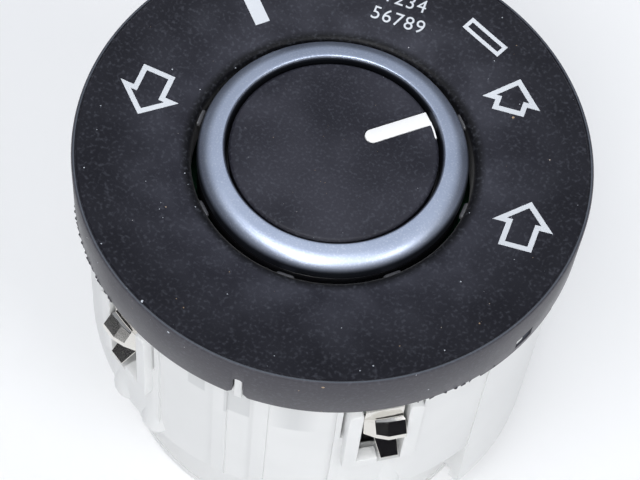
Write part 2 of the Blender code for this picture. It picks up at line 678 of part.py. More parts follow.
def build_detent():
    """Ring with sixteen valleys round its bore and a block that stops the rotor's lug."""
    points = []
    total = DETENT_COUNT * VALLEY_STEPS
    depth = DETENT_VALLEY_R - DETENT_TIP_R
    for i in range(total):
        angle = 2 * math.pi * i / total
        wave = 0.5 + 0.5 * math.cos(angle * DETENT_COUNT)
        points.append(polar(DETENT_TIP_R + depth * wave, POINTER_ANGLE + angle))
    profile = [
        (0.0, DETENT_TOP_Z),
        (DETENT_OUTER_R, DETENT_TOP_Z),
        (DETENT_OUTER_R, DETENT_BOTTOM_Z),
        (0.0, DETENT_BOTTOM_Z),
    ]
    ring = turned("detent_ring", profile, PART, BLACK_PLASTIC, ROUND_STEPS, False)
    cut(ring, outlined("valley_cutter", points, DETENT_BOTTOM_Z - GAP, DETENT_TOP_Z + GAP, CUTTERS))
    start = POINTER_ANGLE + TURN_FORWARD + LUG_HALF_ANGLE + STOP_CLEAR
    end = POINTER_ANGLE + 2 * math.pi - TURN_BACK - LUG_HALF_ANGLE - STOP_CLEAR
    wall_middle = (DETENT_VALLEY_R + DETENT_OUTER_R) / 2
    stop = sector(STOP_INNER_R, wall_middle, start, end)
    stop_top = DETENT_BOTTOM_Z + STOP_HEIGHT
    join(ring, outlined("stop_block", stop, DETENT_BOTTOM_Z, stop_top, CUTTERS))

    leaf_middle_z = (ROTOR_TOP_Z + ROTOR_BOTTOM_Z) / 2
    seat_r = ROTOR_R + GAP + LEAF_THICK / 2
    path = []
    for i in range(LEAF_STEPS + 1):
        share = 2.0 * i / LEAF_STEPS - 1.0
        bow = math.cos(share * math.pi / 2) ** 2
        nose = math.exp(-(share / LEAF_NOSE_SPREAD) ** 2)
        shape = LEAF_BOW_SHARE * bow + (1.0 - LEAF_BOW_SHARE) * nose
        rise = (LEAF_NOSE_R - LEAF_THICK / 2 - seat_r) * shape
        path.append((seat_r + rise, POINTER_ANGLE + math.pi + share * LEAF_HALF_ANGLE))
    outside = [polar(r + LEAF_THICK / 2, a) for r, a in path]
    inside = [polar(r - LEAF_THICK / 2, a) for r, a in reversed(path)]
    low = leaf_middle_z - LEAF_HEIGHT / 2
    outlined("detent_spring", outside + inside, low, low + LEAF_HEIGHT, PART, SPRING_STEEL)


def build_bush():
    top = BUSH_HEAD_TOP_Z
    under_head = top - BUSH_HEAD
    outer = BOSS_BORE_R - GAP
    inner = SHAFT_R + BUSH_CLEAR
    profile = [
        (BUSH_HEAD_R, top),
        (BUSH_HEAD_R, under_head),
        (outer, under_head),
        (outer, BOSS_BOTTOM_Z),
        (inner, BOSS_BOTTOM_Z),
        (inner, top),
    ]
    turned("shaft_bush", profile, PART, BRASS, 2 * SMALL_STEPS)


def build_housing():
    lower_inner = LOWER_R - LOWER_WALL
    step_top = BAND_BOTTOM_Z + STEP_FLOOR
    spigot_top = FLANGE_TOP_Z + SPIGOT_HEIGHT
    fillet = BAND_FILLET
    profile = [
        (SPIGOT_R, spigot_top),
        (SPIGOT_R, FLANGE_TOP_Z),
        (FLANGE_R, FLANGE_TOP_Z),
        (FLANGE_R, FLANGE_BOTTOM_Z),
        (BAND_R, FLANGE_BOTTOM_Z - (FLANGE_R - BAND_R)),
        (BAND_R, BAND_BOTTOM_Z + fillet),
        (BAND_R - FILLET_SHARE * fillet, BAND_BOTTOM_Z + FILLET_SHARE * fillet),
        (BAND_R - fillet, BAND_BOTTOM_Z),
        (LOWER_R, BAND_BOTTOM_Z),
        (LOWER_R, LOWER_BOTTOM_Z),
        (lower_inner, LOWER_BOTTOM_Z),
        (lower_inner, step_top),
        (BAND_INNER_R, step_top),
        (BAND_INNER_R, DECK_BOTTOM_Z),
        (BOSS_R, DECK_BOTTOM_Z),
        (BOSS_R, BOSS_BOTTOM_Z),
        (BOSS_BORE_R, BOSS_BOTTOM_Z),
        (BOSS_BORE_R, BOSS_TOP_Z),
        (BOSS_R, BOSS_TOP_Z),
        (BOSS_R, DECK_TOP_Z),
        (BAND_INNER_R, DECK_TOP_Z),
        (BAND_INNER_R, spigot_top),
    ]
    housing = turned("housing", profile, PART, WHITE_PLASTIC, FINE_STEPS)
    for number, (start, end) in enumerate(panel_spans(), 1):
        outline = sector(BAND_R - PANEL_DEPTH, BAND_R + BAND_WALL, start, end)
        top = FLANGE_BOTTOM_Z - PANEL_TOP_DROP - (FLANGE_R - BAND_R)
        low = BAND_BOTTOM_Z + PANEL_BOTTOM_RISE
        cut(housing, outlined(f"panel_cutter_{number}", outline, low, top, CUTTERS))
    add_key(housing)
    for number, angle in enumerate(clip_angles(), 1):
        add_pocket(housing, number, angle)
    for number, angle in enumerate(four_around(FOOT_ANGLE_INNER) + four_around(FOOT_ANGLE_OUTER), 1):
        join(housing, foot(number, angle))
    for number, angle in enumerate(latch_angles(), 1):
        join(housing, latch_nose(number, angle))
    add_nub(housing)
    add_screw_bosses(housing)
    slot_half = (PIN_COUNT - 1) * PIN_PITCH / 2 + PIN_SIZE + GAP
    low = (-slot_half, PIN_AT_Y - PIN_SIZE, DECK_BOTTOM_Z - GAP)
    high = (slot_half, PIN_AT_Y + PIN_SIZE, DECK_TOP_Z + GAP)
    cut(housing, block("pin_slot_cutter", low, high, CUTTERS))
    return housing


def clip_angles():
    return four_around(CLIP_ANGLE)


def panel_spans():
    """Angles between which the band is sunk, three panels at the front and three behind."""
    rib_inner = RIB_AT_ANGLE - RIB_HALF_ANGLE
    rib_outer = RIB_AT_ANGLE + RIB_HALF_ANGLE
    spans = []
    for middle in (-math.pi / 2, math.pi / 2):
        spans.append((middle - rib_inner, middle + rib_inner))
        spans.append((middle + rib_outer, middle + PANEL_END_ANGLE))
        spans.append((middle - PANEL_END_ANGLE, middle - rib_outer))
    return spans


def add_key(housing):
    """Raised key on the right side that runs down past the band, hollow from below."""
    key_bottom = RIM_TOP_Z - KEY_DEPTH
    face = sector(KEY_R - KEY_WALL, KEY_R, -KEY_HALF_ANGLE, KEY_HALF_ANGLE)
    face_top = FLANGE_BOTTOM_Z - 2 * (FLANGE_R - BAND_R)
    join(housing, outlined("key_wall", face, key_bottom, face_top, CUTTERS))
    web_low = key_bottom + KEY_WEB_RISE
    web_top = BAND_BOTTOM_Z + STEP_FLOOR / 2
    middle = KEY_HALF_ANGLE - KEY_WEB_ANGLE
    for number, side in enumerate((-middle, middle), 1):
        web = sector(
            LOWER_R - LOWER_WALL / 2, KEY_R - KEY_WALL / 2,
            side - KEY_WEB_ANGLE / 2, side + KEY_WEB_ANGLE / 2,
        )
        join(housing, outlined(f"key_web_{number}", web, web_low, web_top, CUTTERS))


def add_pocket(housing, number, angle):
    """U-shaped clip pocket: two free ears, a ledge below them and a mouth through the wall."""
    frame = around(angle)
    half = POCKET_WIDTH / 2
    mouth = POCKET_MOUTH_WIDTH / 2
    window_low = RIM_TOP_Z - POCKET_SLOT_DEPTH
    inside = BAND_INNER_R - BAND_WALL
    outside = FASCIA_R + BAND_WALL
    low = (-half - POCKET_SLOT, window_low, inside)
    high = (half + POCKET_SLOT, POCKET_TOP_Z, outside)
    cut(housing, block(f"pocket_window_cutter_{number}", low, high, CUTTERS, None, frame))
    ear_top = POCKET_TOP_Z - POCKET_EAR_GAP
    bottom = RIM_TOP_Z - POCKET_DEPTH
    corner = POCKET_CORNER
    ear = EAR_CORNER
    quarter = math.pi / 2
    right = arc(corner, -quarter, 0.0, POCKET_STEPS, (half - corner, bottom + corner))
    right += arc(ear, 0.0, quarter, POCKET_STEPS - 1, (half - ear, ear_top - ear))
    right += arc(ear / 2, quarter, 2 * quarter, 2, (mouth + ear / 2, ear_top - ear / 2))
    right += [(mouth, POCKET_SILL_Z)]
    outline = right + [(-x, z) for x, z in reversed(right)]
    name = f"pocket_frame_{number}"
    join(housing, outlined(name, outline, POCKET_BACK_R, POCKET_R, CUTTERS, None, frame))
    low = (-mouth, POCKET_SILL_Z, inside)
    high = (mouth, window_low + GAP, outside)
    cut(housing, block(f"pocket_mouth_cutter_{number}", low, high, CUTTERS, None, frame))
    low = (GAP / 2 - mouth, POCKET_SILL_Z - TAIL_SLOT, inside - GAP)
    high = (mouth - GAP / 2, POCKET_SILL_Z + GAP, POCKET_R - TAIL_WALL)
    cut(housing, block(f"tail_slot_cutter_{number}", low, high, CUTTERS, None, frame))


def foot(number, angle):
    """Rounded boss that stands proud of the band below a clip pocket."""
    low = BAND_BOTTOM_Z + FOOT_R
    top = RIM_TOP_Z - POCKET_DEPTH + POCKET_CORNER
    profile = [(0.0, top)]
    for drop, reach in reversed(arc(FOOT_R, 0.0, math.pi / 2, POCKET_STEPS)):
        profile.append((reach, low - drop))
    item = turned(f"foot_{number}", profile, CUTTERS, None, SMALL_STEPS, False)
    x, y = polar(FOOT_AT_R, angle)
    item.location = (x, y, 0.0)
    return item


def latch_nose(number, angle):
    floor = RIM_BOTTOM_Z + LATCH_FLOOR_RISE + GAP
    top = floor + LATCH_HEIGHT - 2 * GAP
    root = SPIGOT_R - SPIGOT_CLEAR
    tip = FASCIA_R - RIM_WALL / 2
    land = (top - floor) * LATCH_LAND
    outline = [(root, floor), (tip, floor), (tip, floor + land), (SPIGOT_R + GAP / 2, top), (root, top)]
    half = LATCH_WIDTH / 2 - GAP
    return outlined(f"latch_nose_{number}", outline, -half, half, CUTTERS, None, section(angle))


def add_nub(housing):
    """Locating nub that fills the rim's notch at six o'clock."""
    half = NOTCH_WIDTH / 2 - NUB_CLEAR
    top = RIM_BOTTOM_Z + NOTCH_HEIGHT - NUB_CLEAR - half
    outline = [(-half, FLANGE_BOTTOM_Z + GAP), (half, FLANGE_BOTTOM_Z + GAP)]
    outline += arc(half, 0.0, math.pi, 8, (0.0, top))
    frame = around(-math.pi / 2)
    root = SPIGOT_R - SPIGOT_CLEAR
    tip = FASCIA_R - GAP
    join(housing, outlined("locating_nub", outline, root, tip, CUTTERS, None, frame))


def add_screw_bosses(housing):
    tip = BOARD_TOP_Z + GAP - SCREW_LENGTH
    for number, angle in enumerate(SCREW_ANGLES, 1):
        at = polar(SCREW_AT_R, angle)
        top = DECK_TOP_Z - DECK_THICK / 2
        low = tip - SCREW_BOSS_WALL
        join(housing, rod(f"screw_boss_{number}", SCREW_BOSS_R, low, top, CUTTERS, None, at))
        hole_top = DECK_TOP_Z + GAP
        name = f"screw_hole_cutter_{number}"
        cut(housing, rod(name, SCREW_R + GAP, tip - GAP, hole_top, CUTTERS, None, at))


def build_clips():
    """Bent spring clips: leg behind the spigot, leaf, ramped nose and a tail behind the sill."""
    rows = len(CLIP_PATH) - 1
    for number, angle in enumerate(clip_angles(), 1):
        away = 1.0 if math.cos(angle) * math.sin(angle) < 0 else -1.0
        bm = bmesh.new()
        bmesh.ops.create_grid(bm, x_segments=2, y_segments=rows, size=1.0)
        bm.verts.ensure_lookup_table()
        for vert in bm.verts:
            row = round((vert.co.y + 1.0) / 2.0 * rows)
            side = round(vert.co.x)
            out, down, taper, near, far = CLIP_PATH[row]
            x = {-1: -near * CLIP_HALF_WIDTH, 0: CLIP_RIDGE_AT, 1: far * CLIP_HALF_WIDTH}[side]
            z = POCKET_TOP_Z + (POCKET_SILL_Z - POCKET_TOP_Z) * down
            back = CLIP_TAPER * taper if side < 0 else 0.0
            vert.co = (away * x, z, BAND_R + CLIP_NOSE_OUT * out - back)
        name = f"spring_clip_{number}"
        mesh = mesh_from(bm, name)
        clip = place(bpy.data.objects.new(name, mesh), PART, SPRING_STEEL)
        clip.matrix_world = around(angle)
        sheet = clip.modifiers.new("sheet", "SOLIDIFY")
        sheet.thickness = CLIP_THICK
        sheet.offset = 0.0
        sheet.use_even_offset = True


def build_board():
    top = BOARD_TOP_Z
    profile = [
        (BOARD_R, top),
        (BOARD_R, BOARD_BOTTOM_Z),
        (BOARD_HOLE_R, BOARD_BOTTOM_Z),
        (BOARD_HOLE_R, top),
    ]
    board = turned("circuit_board", profile, PART, BOARD_GREEN, ROUND_STEPS)
    for number, angle in enumerate(SCREW_ANGLES, 1):
        at = polar(SCREW_AT_R, angle)
        low = BOARD_BOTTOM_Z - GAP
        cut(board, rod(f"board_hole_cutter_{number}", SCREW_R + GAP, low, top + GAP, CUTTERS, None, at))
        screw_profile = [
            (0.0, top + GAP + SCREW_HEAD),
            (SCREW_HEAD_R - SCREW_HEAD_CHAMFER, top + GAP + SCREW_HEAD),
            (SCREW_HEAD_R, top + GAP + SCREW_HEAD - SCREW_HEAD_CHAMFER),
            (SCREW_HEAD_R, top + GAP),
            (SCREW_R, top + GAP),
            (SCREW_R, top + GAP - SCREW_LENGTH + SCREW_R),
            (0.0, top + GAP - SCREW_LENGTH),
        ]
        screw = turned(f"board_screw_{number}", screw_profile, PART, SPRING_STEEL, SMALL_STEPS, False)
        screw.location = (*at, 0.0)
    low = BOARD_BOTTOM_Z - GAP
    for number, x in enumerate(pin_places(), 1):
        half = PIN_SIZE / 2 + GAP
        corner = (x - half, PIN_AT_Y - half, low)
        far = (x + half, PIN_AT_Y + half, top + GAP)
        cut(board, block(f"board_pin_cutter_{number}", corner, far, CUTTERS))


def pin_places():
    return [(i - (PIN_COUNT - 1) / 2) * PIN_PITCH for i in range(PIN_COUNT)]


def build_pins():
    for number, x in enumerate(pin_places(), 1):
        half = PIN_SIZE / 2
        low = (x - half, PIN_AT_Y - half, PIN_TIP_Z)
        high = (x + half, PIN_AT_Y + half, BOARD_TOP_Z + PIN_TOP_STAND)
        block(f"contact_pin_{number}", low, high, PART, TINNED, None, PIN_EDGE)


def build_lamps():
    for number, degrees in enumerate(LAMP_CLOCK_ANGLES, 1):
        frame = Matrix.Rotation(clock(degrees), 4, "Z")
        low = (LAMP_AT_R - LAMP_WIDTH / 2, -LAMP_LENGTH / 2, BOARD_TOP_Z + GAP)
        high = (LAMP_AT_R + LAMP_WIDTH / 2, LAMP_LENGTH / 2, BOARD_TOP_Z + GAP + LAMP_HEIGHT)
        block(f"lamp_{number}", low, high, PART, LAMP_WHITE, frame, LAMP_EDGE)


def build_light_guide():
    """Clear ring under the dial with one pipe down to each lamp."""
    clear = FASCIA_WALL + GAP
    bottom = RIM_TOP_Z - GUIDE_BOTTOM_DROP
    profile = [
        (GUIDE_OUTER_R, face_height(GUIDE_OUTER_R) - clear),
        (GUIDE_OUTER_R, bottom),
        (GUIDE_INNER_R, bottom),
        (GUIDE_INNER_R, face_height(GUIDE_INNER_R) - clear),
    ]
    guide = turned("light_guide", profile, PART, CLEAR_PLASTIC, ROUND_STEPS)
    lamp_top = BOARD_TOP_Z + GAP + LAMP_HEIGHT
    for number, degrees in enumerate(LAMP_CLOCK_ANGLES, 1):
        at = polar(LAMP_AT_R, clock(degrees))
        top = bottom + GUIDE_PIPE_R
        join(guide, rod(f"light_pipe_{number}", GUIDE_PIPE_R, lamp_top + GAP, top, CUTTERS, None, at))


def build_base():
    """Bottom cover with a ring that plugs into the housing and a socket for the connector."""
    ring_inner = PLUG_RING_R - PLUG_RING_WALL
    ring_top = BASE_PLATE + PLUG_RING_HEIGHT
    profile = [
        (0.0, BASE_PLATE),
        (ring_inner, BASE_PLATE),
        (ring_inner, ring_top),
        (PLUG_RING_R, ring_top),
        (PLUG_RING_R, BASE_PLATE),
        (LOWER_R, BASE_PLATE),
        (LOWER_R, 0.0),
        (0.0, 0.0),
    ]
    base = turned("base_cover", profile, PART, WHITE_PLASTIC, FINE_STEPS, False)
    wall = SOCKET_WALL
    low = (-SOCKET_HALF_X, PIN_AT_Y - SOCKET_HALF_Y, BASE_PLATE / 2)
    high = (SOCKET_HALF_X, PIN_AT_Y + SOCKET_HALF_Y, SOCKET_DEPTH + wall)
    join(base, block("socket_shell", low, high, CUTTERS))
    low = (wall - SOCKET_HALF_X, PIN_AT_Y - SOCKET_HALF_Y + wall, -BASE_PLATE)
    high = (SOCKET_HALF_X - wall, PIN_AT_Y + SOCKET_HALF_Y - wall, SOCKET_DEPTH)
    cut(base, block("socket_cutter", low, high, CUTTERS))
    for number, x in enumerate(pin_places(), 1):
        half = PIN_SIZE / 2 + GAP
        corner = (x - half, PIN_AT_Y - half, SOCKET_DEPTH - wall)
        far = (x + half, PIN_AT_Y + half, SOCKET_DEPTH + 2 * wall)
        cut(base, block(f"socket_pin_cutter_{number}", corner, far, CUTTERS))


build_fascia()
build_light_guide()
build_housing()
build_clips()
build_base()
build_board()
build_lamps()
build_pins()
build_bush()
build_detent()
build_rotor()
build_wiper()
build_knob()
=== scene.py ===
"""Rotary ride height switch for a centre console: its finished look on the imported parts."""

import math

import bmesh
import bpy
from mathutils import Matrix, Vector


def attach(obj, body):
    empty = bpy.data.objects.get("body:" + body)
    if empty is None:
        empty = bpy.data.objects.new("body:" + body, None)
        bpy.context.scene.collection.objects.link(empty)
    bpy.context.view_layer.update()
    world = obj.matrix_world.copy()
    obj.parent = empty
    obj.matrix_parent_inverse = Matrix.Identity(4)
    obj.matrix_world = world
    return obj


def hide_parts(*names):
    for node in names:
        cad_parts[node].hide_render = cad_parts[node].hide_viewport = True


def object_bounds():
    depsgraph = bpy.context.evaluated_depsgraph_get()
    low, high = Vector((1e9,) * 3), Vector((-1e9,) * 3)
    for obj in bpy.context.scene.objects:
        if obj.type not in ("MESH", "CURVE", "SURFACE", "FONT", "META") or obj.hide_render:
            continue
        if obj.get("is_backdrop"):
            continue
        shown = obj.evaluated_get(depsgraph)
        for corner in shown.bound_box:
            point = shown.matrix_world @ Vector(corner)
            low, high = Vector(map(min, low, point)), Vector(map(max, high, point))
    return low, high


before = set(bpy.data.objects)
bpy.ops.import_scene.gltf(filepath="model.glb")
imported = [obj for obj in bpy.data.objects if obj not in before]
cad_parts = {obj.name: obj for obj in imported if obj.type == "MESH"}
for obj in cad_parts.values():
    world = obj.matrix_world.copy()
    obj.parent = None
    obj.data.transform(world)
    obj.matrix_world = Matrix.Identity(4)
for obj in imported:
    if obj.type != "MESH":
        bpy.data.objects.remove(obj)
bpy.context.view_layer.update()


# Bottom cover.
# One white moulding: a round plate whose ring plugs into the housing, with the shell of the
# connector's socket standing on it. It is turned first, then the socket is added and cut.
SAME_POINT = 0.0000005


def piece_from(shape, name):
    """Turns a shape's faces outwards and puts it in the scene at the origin."""
    bmesh.ops.recalc_face_normals(shape, faces=shape.faces)
    mesh = bpy.data.meshes.new(name)
    shape.to_mesh(mesh)
    shape.free()
    piece = bpy.data.objects.new(name, mesh)
    bpy.context.scene.collection.objects.link(piece)
    return piece


def turned(name, outline, soft=(), facets=192, open_at_axis=False, at=(0.0, 0.0)):
    """Turns an outline of (radius, height) points; soft holds (point, rounding) pairs."""
    shape = bmesh.new()
    points = [shape.verts.new((radius, 0.0, height)) for radius, height in outline]
    for first, second in zip(points, points[1:]):
        shape.edges.new((first, second))
    if not open_at_axis:
        shape.edges.new((points[-1], points[0]))
    for number, rounding in soft:
        bmesh.ops.bevel(
            shape, geom=[points[number]], offset=rounding, offset_type="OFFSET", segments=4,
            profile=0.5, affect="VERTICES", material=-1,
        )
    bmesh.ops.spin(
        shape, geom=shape.verts[:] + shape.edges[:], cent=(0.0, 0.0, 0.0), axis=(0.0, 0.0, 1.0),
        angle=2 * math.pi, steps=facets, use_merge=True,
    )
    bmesh.ops.remove_doubles(shape, verts=shape.verts, dist=SAME_POINT)
    bmesh.ops.translate(shape, verts=shape.verts, vec=(at[0], at[1], 0.0))
    return piece_from(shape, name)


def block(name, low, high, rounding=0.0, turn=None):
    """A block between two corners with its edges rounded."""
    shape = bmesh.new()
    bmesh.ops.create_cube(shape, size=1.0)
    bmesh.ops.scale(shape, verts=shape.verts, vec=[b - a for a, b in zip(low, high)])
    bmesh.ops.translate(shape, verts=shape.verts, vec=[(a + b) / 2 for a, b in zip(low, high)])
    if rounding:
        bmesh.ops.bevel(
            shape, geom=shape.edges[:], offset=rounding, offset_type="OFFSET", segments=2,
            profile=0.5, affect="EDGES", material=-1,
        )
    if turn is not None:
        bmesh.ops.transform(shape, verts=shape.verts, matrix=turn)
    return piece_from(shape, name)


def upright_block(name, middle, half_size, bottom, top, rounding=0.0):
    """A block that stands round a point, given its half sizes along X and Y."""
    low = (middle[0] - half_size[0], middle[1] - half_size[1], bottom)
    high = (middle[0] + half_size[0], middle[1] + half_size[1], top)
    return block(name, low, high, rounding)


def worked(piece, tools, operation):
    """Adds tool shapes to a piece or takes them out of it, and clears the tools away."""
    for tool in tools:
        step = piece.modifiers.new(tool.name, "BOOLEAN")
        step.operation = operation
        step.solver = "EXACT"
        step.object = tool
    bpy.context.view_layer.update()
    mesh = bpy.data.meshes.new_from_object(
        piece.evaluated_get(bpy.context.evaluated_depsgraph_get())
    )
    piece.modifiers.clear()
    piece.data = mesh
    for tool in tools:
        bpy.data.objects.remove(tool, do_unlink=True)
    return piece


def smooth(piece, sharp=32.0):
    """Shades a piece smooth, with edges over an angle in degrees left sharp."""
    piece.data.shade_smooth()
    piece.data.set_sharp_from_angle(angle=math.radians(sharp))
    return piece


def wire(tree, output, target, socket):
    """Links an output to a named input."""
    tree.links.new(output, target.inputs[socket])


def math_step(tree, operation, first, second):
    """One step of arithmetic, on sockets or plain numbers."""
    step = tree.nodes.new("ShaderNodeMath")
    step.operation = operation
    for number, source in enumerate((first, second)):
        if isinstance(source, float):
            step.inputs[number].default_value = source
        else:
            tree.links.new(source, step.inputs[number])
    return step.outputs["Value"]


def new_group(name, given, made):
    """Starts a shader node group, with its sockets as pairs of a name and a kind."""
    group = bpy.data.node_groups.new(name, "ShaderNodeTree")
    for way, sockets in (("INPUT", given), ("OUTPUT", made)):
        for socket, kind in sockets:
            group.interface.new_socket(socket, in_out=way, socket_type="NodeSocket" + kind)
    return group, group.nodes.new("NodeGroupInput"), group.nodes.new("NodeGroupOutput")


def make_moulded_grain():
    """Fine grain of a moulded or painted skin, with slow blotches and small pale flecks."""
    group, come, leave = new_group(
        "moulded_grain",
        (
            ("Place", "Vector"), ("Grain Scale", "Float"), ("Blotch Scale", "Float"),
            ("Fleck Scale", "Float"),
        ),
        (("Height", "Float"), ("Blotch", "Float"), ("Fleck", "Float")),
    )
    fine = group.nodes.new("ShaderNodeTexNoise")
    fine.inputs["Detail"].default_value = 3.0
    fine.inputs["Roughness"].default_value = 0.6
    wire(group, come.outputs["Place"], fine, "Vector")
    wire(group, come.outputs["Grain Scale"], fine, "Scale")
    wire(group, fine.outputs["Fac"], leave, "Height")
    for scale, detail, low, high, output in (
        ("Blotch Scale", 2.0, 0.25, 0.75, "Blotch"), ("Fleck Scale", 1.0, 0.48, 0.82, "Fleck"),
    ):
        cloud = group.nodes.new("ShaderNodeTexNoise")
        cloud.inputs["Detail"].default_value = detail
        wire(group, come.outputs["Place"], cloud, "Vector")
        wire(group, come.outputs[scale], cloud, "Scale")
        spread = group.nodes.new("ShaderNodeMapRange")
        spread.inputs["From Min"].default_value = low
        spread.inputs["From Max"].default_value = high
        spread.interpolation_type = "SMOOTHSTEP"
        wire(group, cloud.outputs["Fac"], spread, "Value")
        wire(group, spread.outputs["Result"], leave, output)
    return group


moulded_grain = make_moulded_grain()


def moulded_finish(name, tones, roughness, grain, depth, blotch=90.0, metallic=0.0):
    """Finish of a moulded or coated part: two close tones in slow blotches and a fine grain."""
    material = bpy.data.materials.new(name)
    material.use_nodes = True
    tree = material.node_tree
    shader = tree.nodes["Principled BSDF"]
    shader.inputs["Metallic"].default_value = metallic
    place = tree.nodes.new("ShaderNodeTexCoord")
    skin = tree.nodes.new("ShaderNodeGroup")
    skin.node_tree = moulded_grain
    skin.name = "skin"
    skin.inputs["Grain Scale"].default_value = grain
    skin.inputs["Blotch Scale"].default_value = blotch
    wire(tree, place.outputs["Object"], skin, "Place")
    tint = tree.nodes.new("ShaderNodeMix")
    tint.data_type = "RGBA"
    tint.inputs["A"].default_value = (*tones[0], 1.0)
    tint.inputs["B"].default_value = (*tones[1], 1.0)
    wire(tree, skin.outputs["Blotch"], tint, "Factor")
    wire(tree, tint.outputs["Result"], shader, "Base Color")
    sheen = tree.nodes.new("ShaderNodeMapRange")
    sheen.inputs["To Min"].default_value = roughness[0]
    sheen.inputs["To Max"].default_value = roughness[1]
    wire(tree, skin.outputs["Blotch"], sheen, "Value")
    wire(tree, sheen.outputs["Result"], shader, "Roughness")
    relief = tree.nodes.new("ShaderNodeBump")
    relief.inputs["Distance"].default_value = depth
    wire(tree, skin.outputs["Height"], relief, "Height")
    wire(tree, relief.outputs["Normal"], shader, "Normal")
    return material


white_moulding = moulded_finish(
    "white_moulding", ((0.81, 0.815, 0.81), (0.85, 0.855, 0.85)), (0.30, 0.38),
    grain=2600.0, depth=0.000004,
)

COVER_R = 0.0266
COVER_THICK = 0.0016
PLUG_OUTER_R = 0.0245
PLUG_INNER_R = 0.0234
PLUG_TOP_Z = 0.0046
cover = turned(
    "bottom_cover",
    [
        (0.0, 0.0), (COVER_R, 0.0), (COVER_R, COVER_THICK), (PLUG_OUTER_R, COVER_THICK),
        (PLUG_OUTER_R, PLUG_TOP_Z), (PLUG_INNER_R, PLUG_TOP_Z), (PLUG_INNER_R, COVER_THICK),
        (0.0, COVER_THICK),
    ],
    soft=((1, 0.0004), (4, 0.0002), (5, 0.0002)), open_at_axis=True,
)
SOCKET_AT = (0.0, -0.01777)
SOCKET_HALF = (0.0084, 0.0036)
SOCKET_WALL = 0.0011
SOCKET_TOP_Z = 0.0104
shell_half = (SOCKET_HALF[0] + SOCKET_WALL, SOCKET_HALF[1] + SOCKET_WALL)
shell_top = SOCKET_TOP_Z + SOCKET_WALL
socket_shell = upright_block("socket_shell", SOCKET_AT, shell_half, COVER_THICK / 2, shell_top, 0.0004)
worked(cover, [socket_shell], "UNION")
# The cuts start under the cover, so that they go right through it.
CUT_FROM_Z = -0.002
KEYWAY_HALF = 0.0006
KEYWAY_DEPTH = 0.0005
KEYWAY_TOP_Z = 0.009
PIN_PITCH = 0.00254
PIN_HOLE_HALF = 0.00062
cuts = [upright_block("socket_mouth", SOCKET_AT, SOCKET_HALF, CUT_FROM_Z, SOCKET_TOP_Z)]
for side, x in (("left", -0.0052), ("right", 0.0046)):
    front_y = SOCKET_AT[1] - SOCKET_HALF[1] - KEYWAY_DEPTH
    low = (x - KEYWAY_HALF, front_y, CUT_FROM_Z)
    cuts.append(block(f"socket_keyway_{side}", low, (x + KEYWAY_HALF, SOCKET_AT[1], KEYWAY_TOP_Z)))
for pin in range(6):
    at = ((pin - 2.5) * PIN_PITCH, SOCKET_AT[1])
    hole = upright_block(f"pin_hole_{pin}", at, (PIN_HOLE_HALF, PIN_HOLE_HALF), KEYWAY_TOP_Z, 0.013)
    cuts.append(hole)
worked(cover, cuts, "DIFFERENCE")
smooth(cover)
cover.data.materials.append(white_moulding)
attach(cover, "switch_body")
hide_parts("base_cover")


# Housing.
# One white moulding that holds everything: a cup with a flange under the dial, sunk panels
# between ribs, a raised key on the right and four U-shaped pockets for the spring clips.
def outward(degrees):
    """Frame with X along the wall, Y up and Z pointing outwards at an angle."""
    angle = math.radians(degrees)
    turn = Matrix.Identity(4)
    turn.col[0] = (-math.sin(angle), math.cos(angle), 0.0, 0.0)
    turn.col[1] = (0.0, 0.0, 1.0, 0.0)
    turn.col[2] = (math.cos(angle), math.sin(angle), 0.0, 0.0)
    return turn


def slab(name, outline, near, far, soft=(), edge=0.0, turn=None):
    """A flat outline made thick; soft rounds its corners and edge its rim on the far side."""
    shape = bmesh.new()
    points = [shape.verts.new((x, y, near)) for x, y in outline]
    shape.faces.new(points)
    for number, rounding in soft:
        bmesh.ops.bevel(
            shape, geom=[points[number]], offset=rounding, offset_type="OFFSET", segments=6,
            profile=0.5, affect="VERTICES", material=-1,
        )
    grown = bmesh.ops.extrude_face_region(shape, geom=shape.faces[:])["geom"]
    moved = [part for part in grown if isinstance(part, bmesh.types.BMVert)]
    bmesh.ops.translate(shape, verts=moved, vec=(0.0, 0.0, far - near))
    if edge:
        rim = [e for e in shape.edges if all(v in moved for v in e.verts)]
        bmesh.ops.bevel(
            shape, geom=rim, offset=edge, offset_type="OFFSET", segments=3,
            profile=0.5, affect="EDGES", material=-1,
        )
    if turn is not None:
        bmesh.ops.transform(shape, verts=shape.verts, matrix=turn)
    return piece_from(shape, name)


def wall_piece(name, inner, outer, start, end, low, high, facets=12):
    """A piece of a round wall between two angles in degrees and two heights."""
    shape = bmesh.new()
    corners = [(inner, low), (outer, low), (outer, high), (inner, high)]
    points = [shape.verts.new((radius, 0.0, height)) for radius, height in corners]
    shape.faces.new(points)
    to_start = Matrix.Rotation(math.radians(start), 3, "Z")
    bmesh.ops.rotate(shape, verts=shape.verts, cent=(0.0, 0.0, 0.0), matrix=to_start)
    bmesh.ops.spin(
        shape, geom=shape.verts[:] + shape.edges[:] + shape.faces[:], cent=(0.0, 0.0, 0.0),
        axis=(0.0, 0.0, 1.0), angle=math.radians(end - start), steps=facets,
    )
    bmesh.ops.remove_doubles(shape, verts=shape.verts, dist=SAME_POINT)
    return piece_from(shape, name)


def through_wall(name, half_width, low, high, inner, outer, turn):
    """A block across a wall, between two heights and two radii, at a place on the wall."""
    return block(name, (-half_width, low, inner), (half_width, high, outer), 0.0, turn)


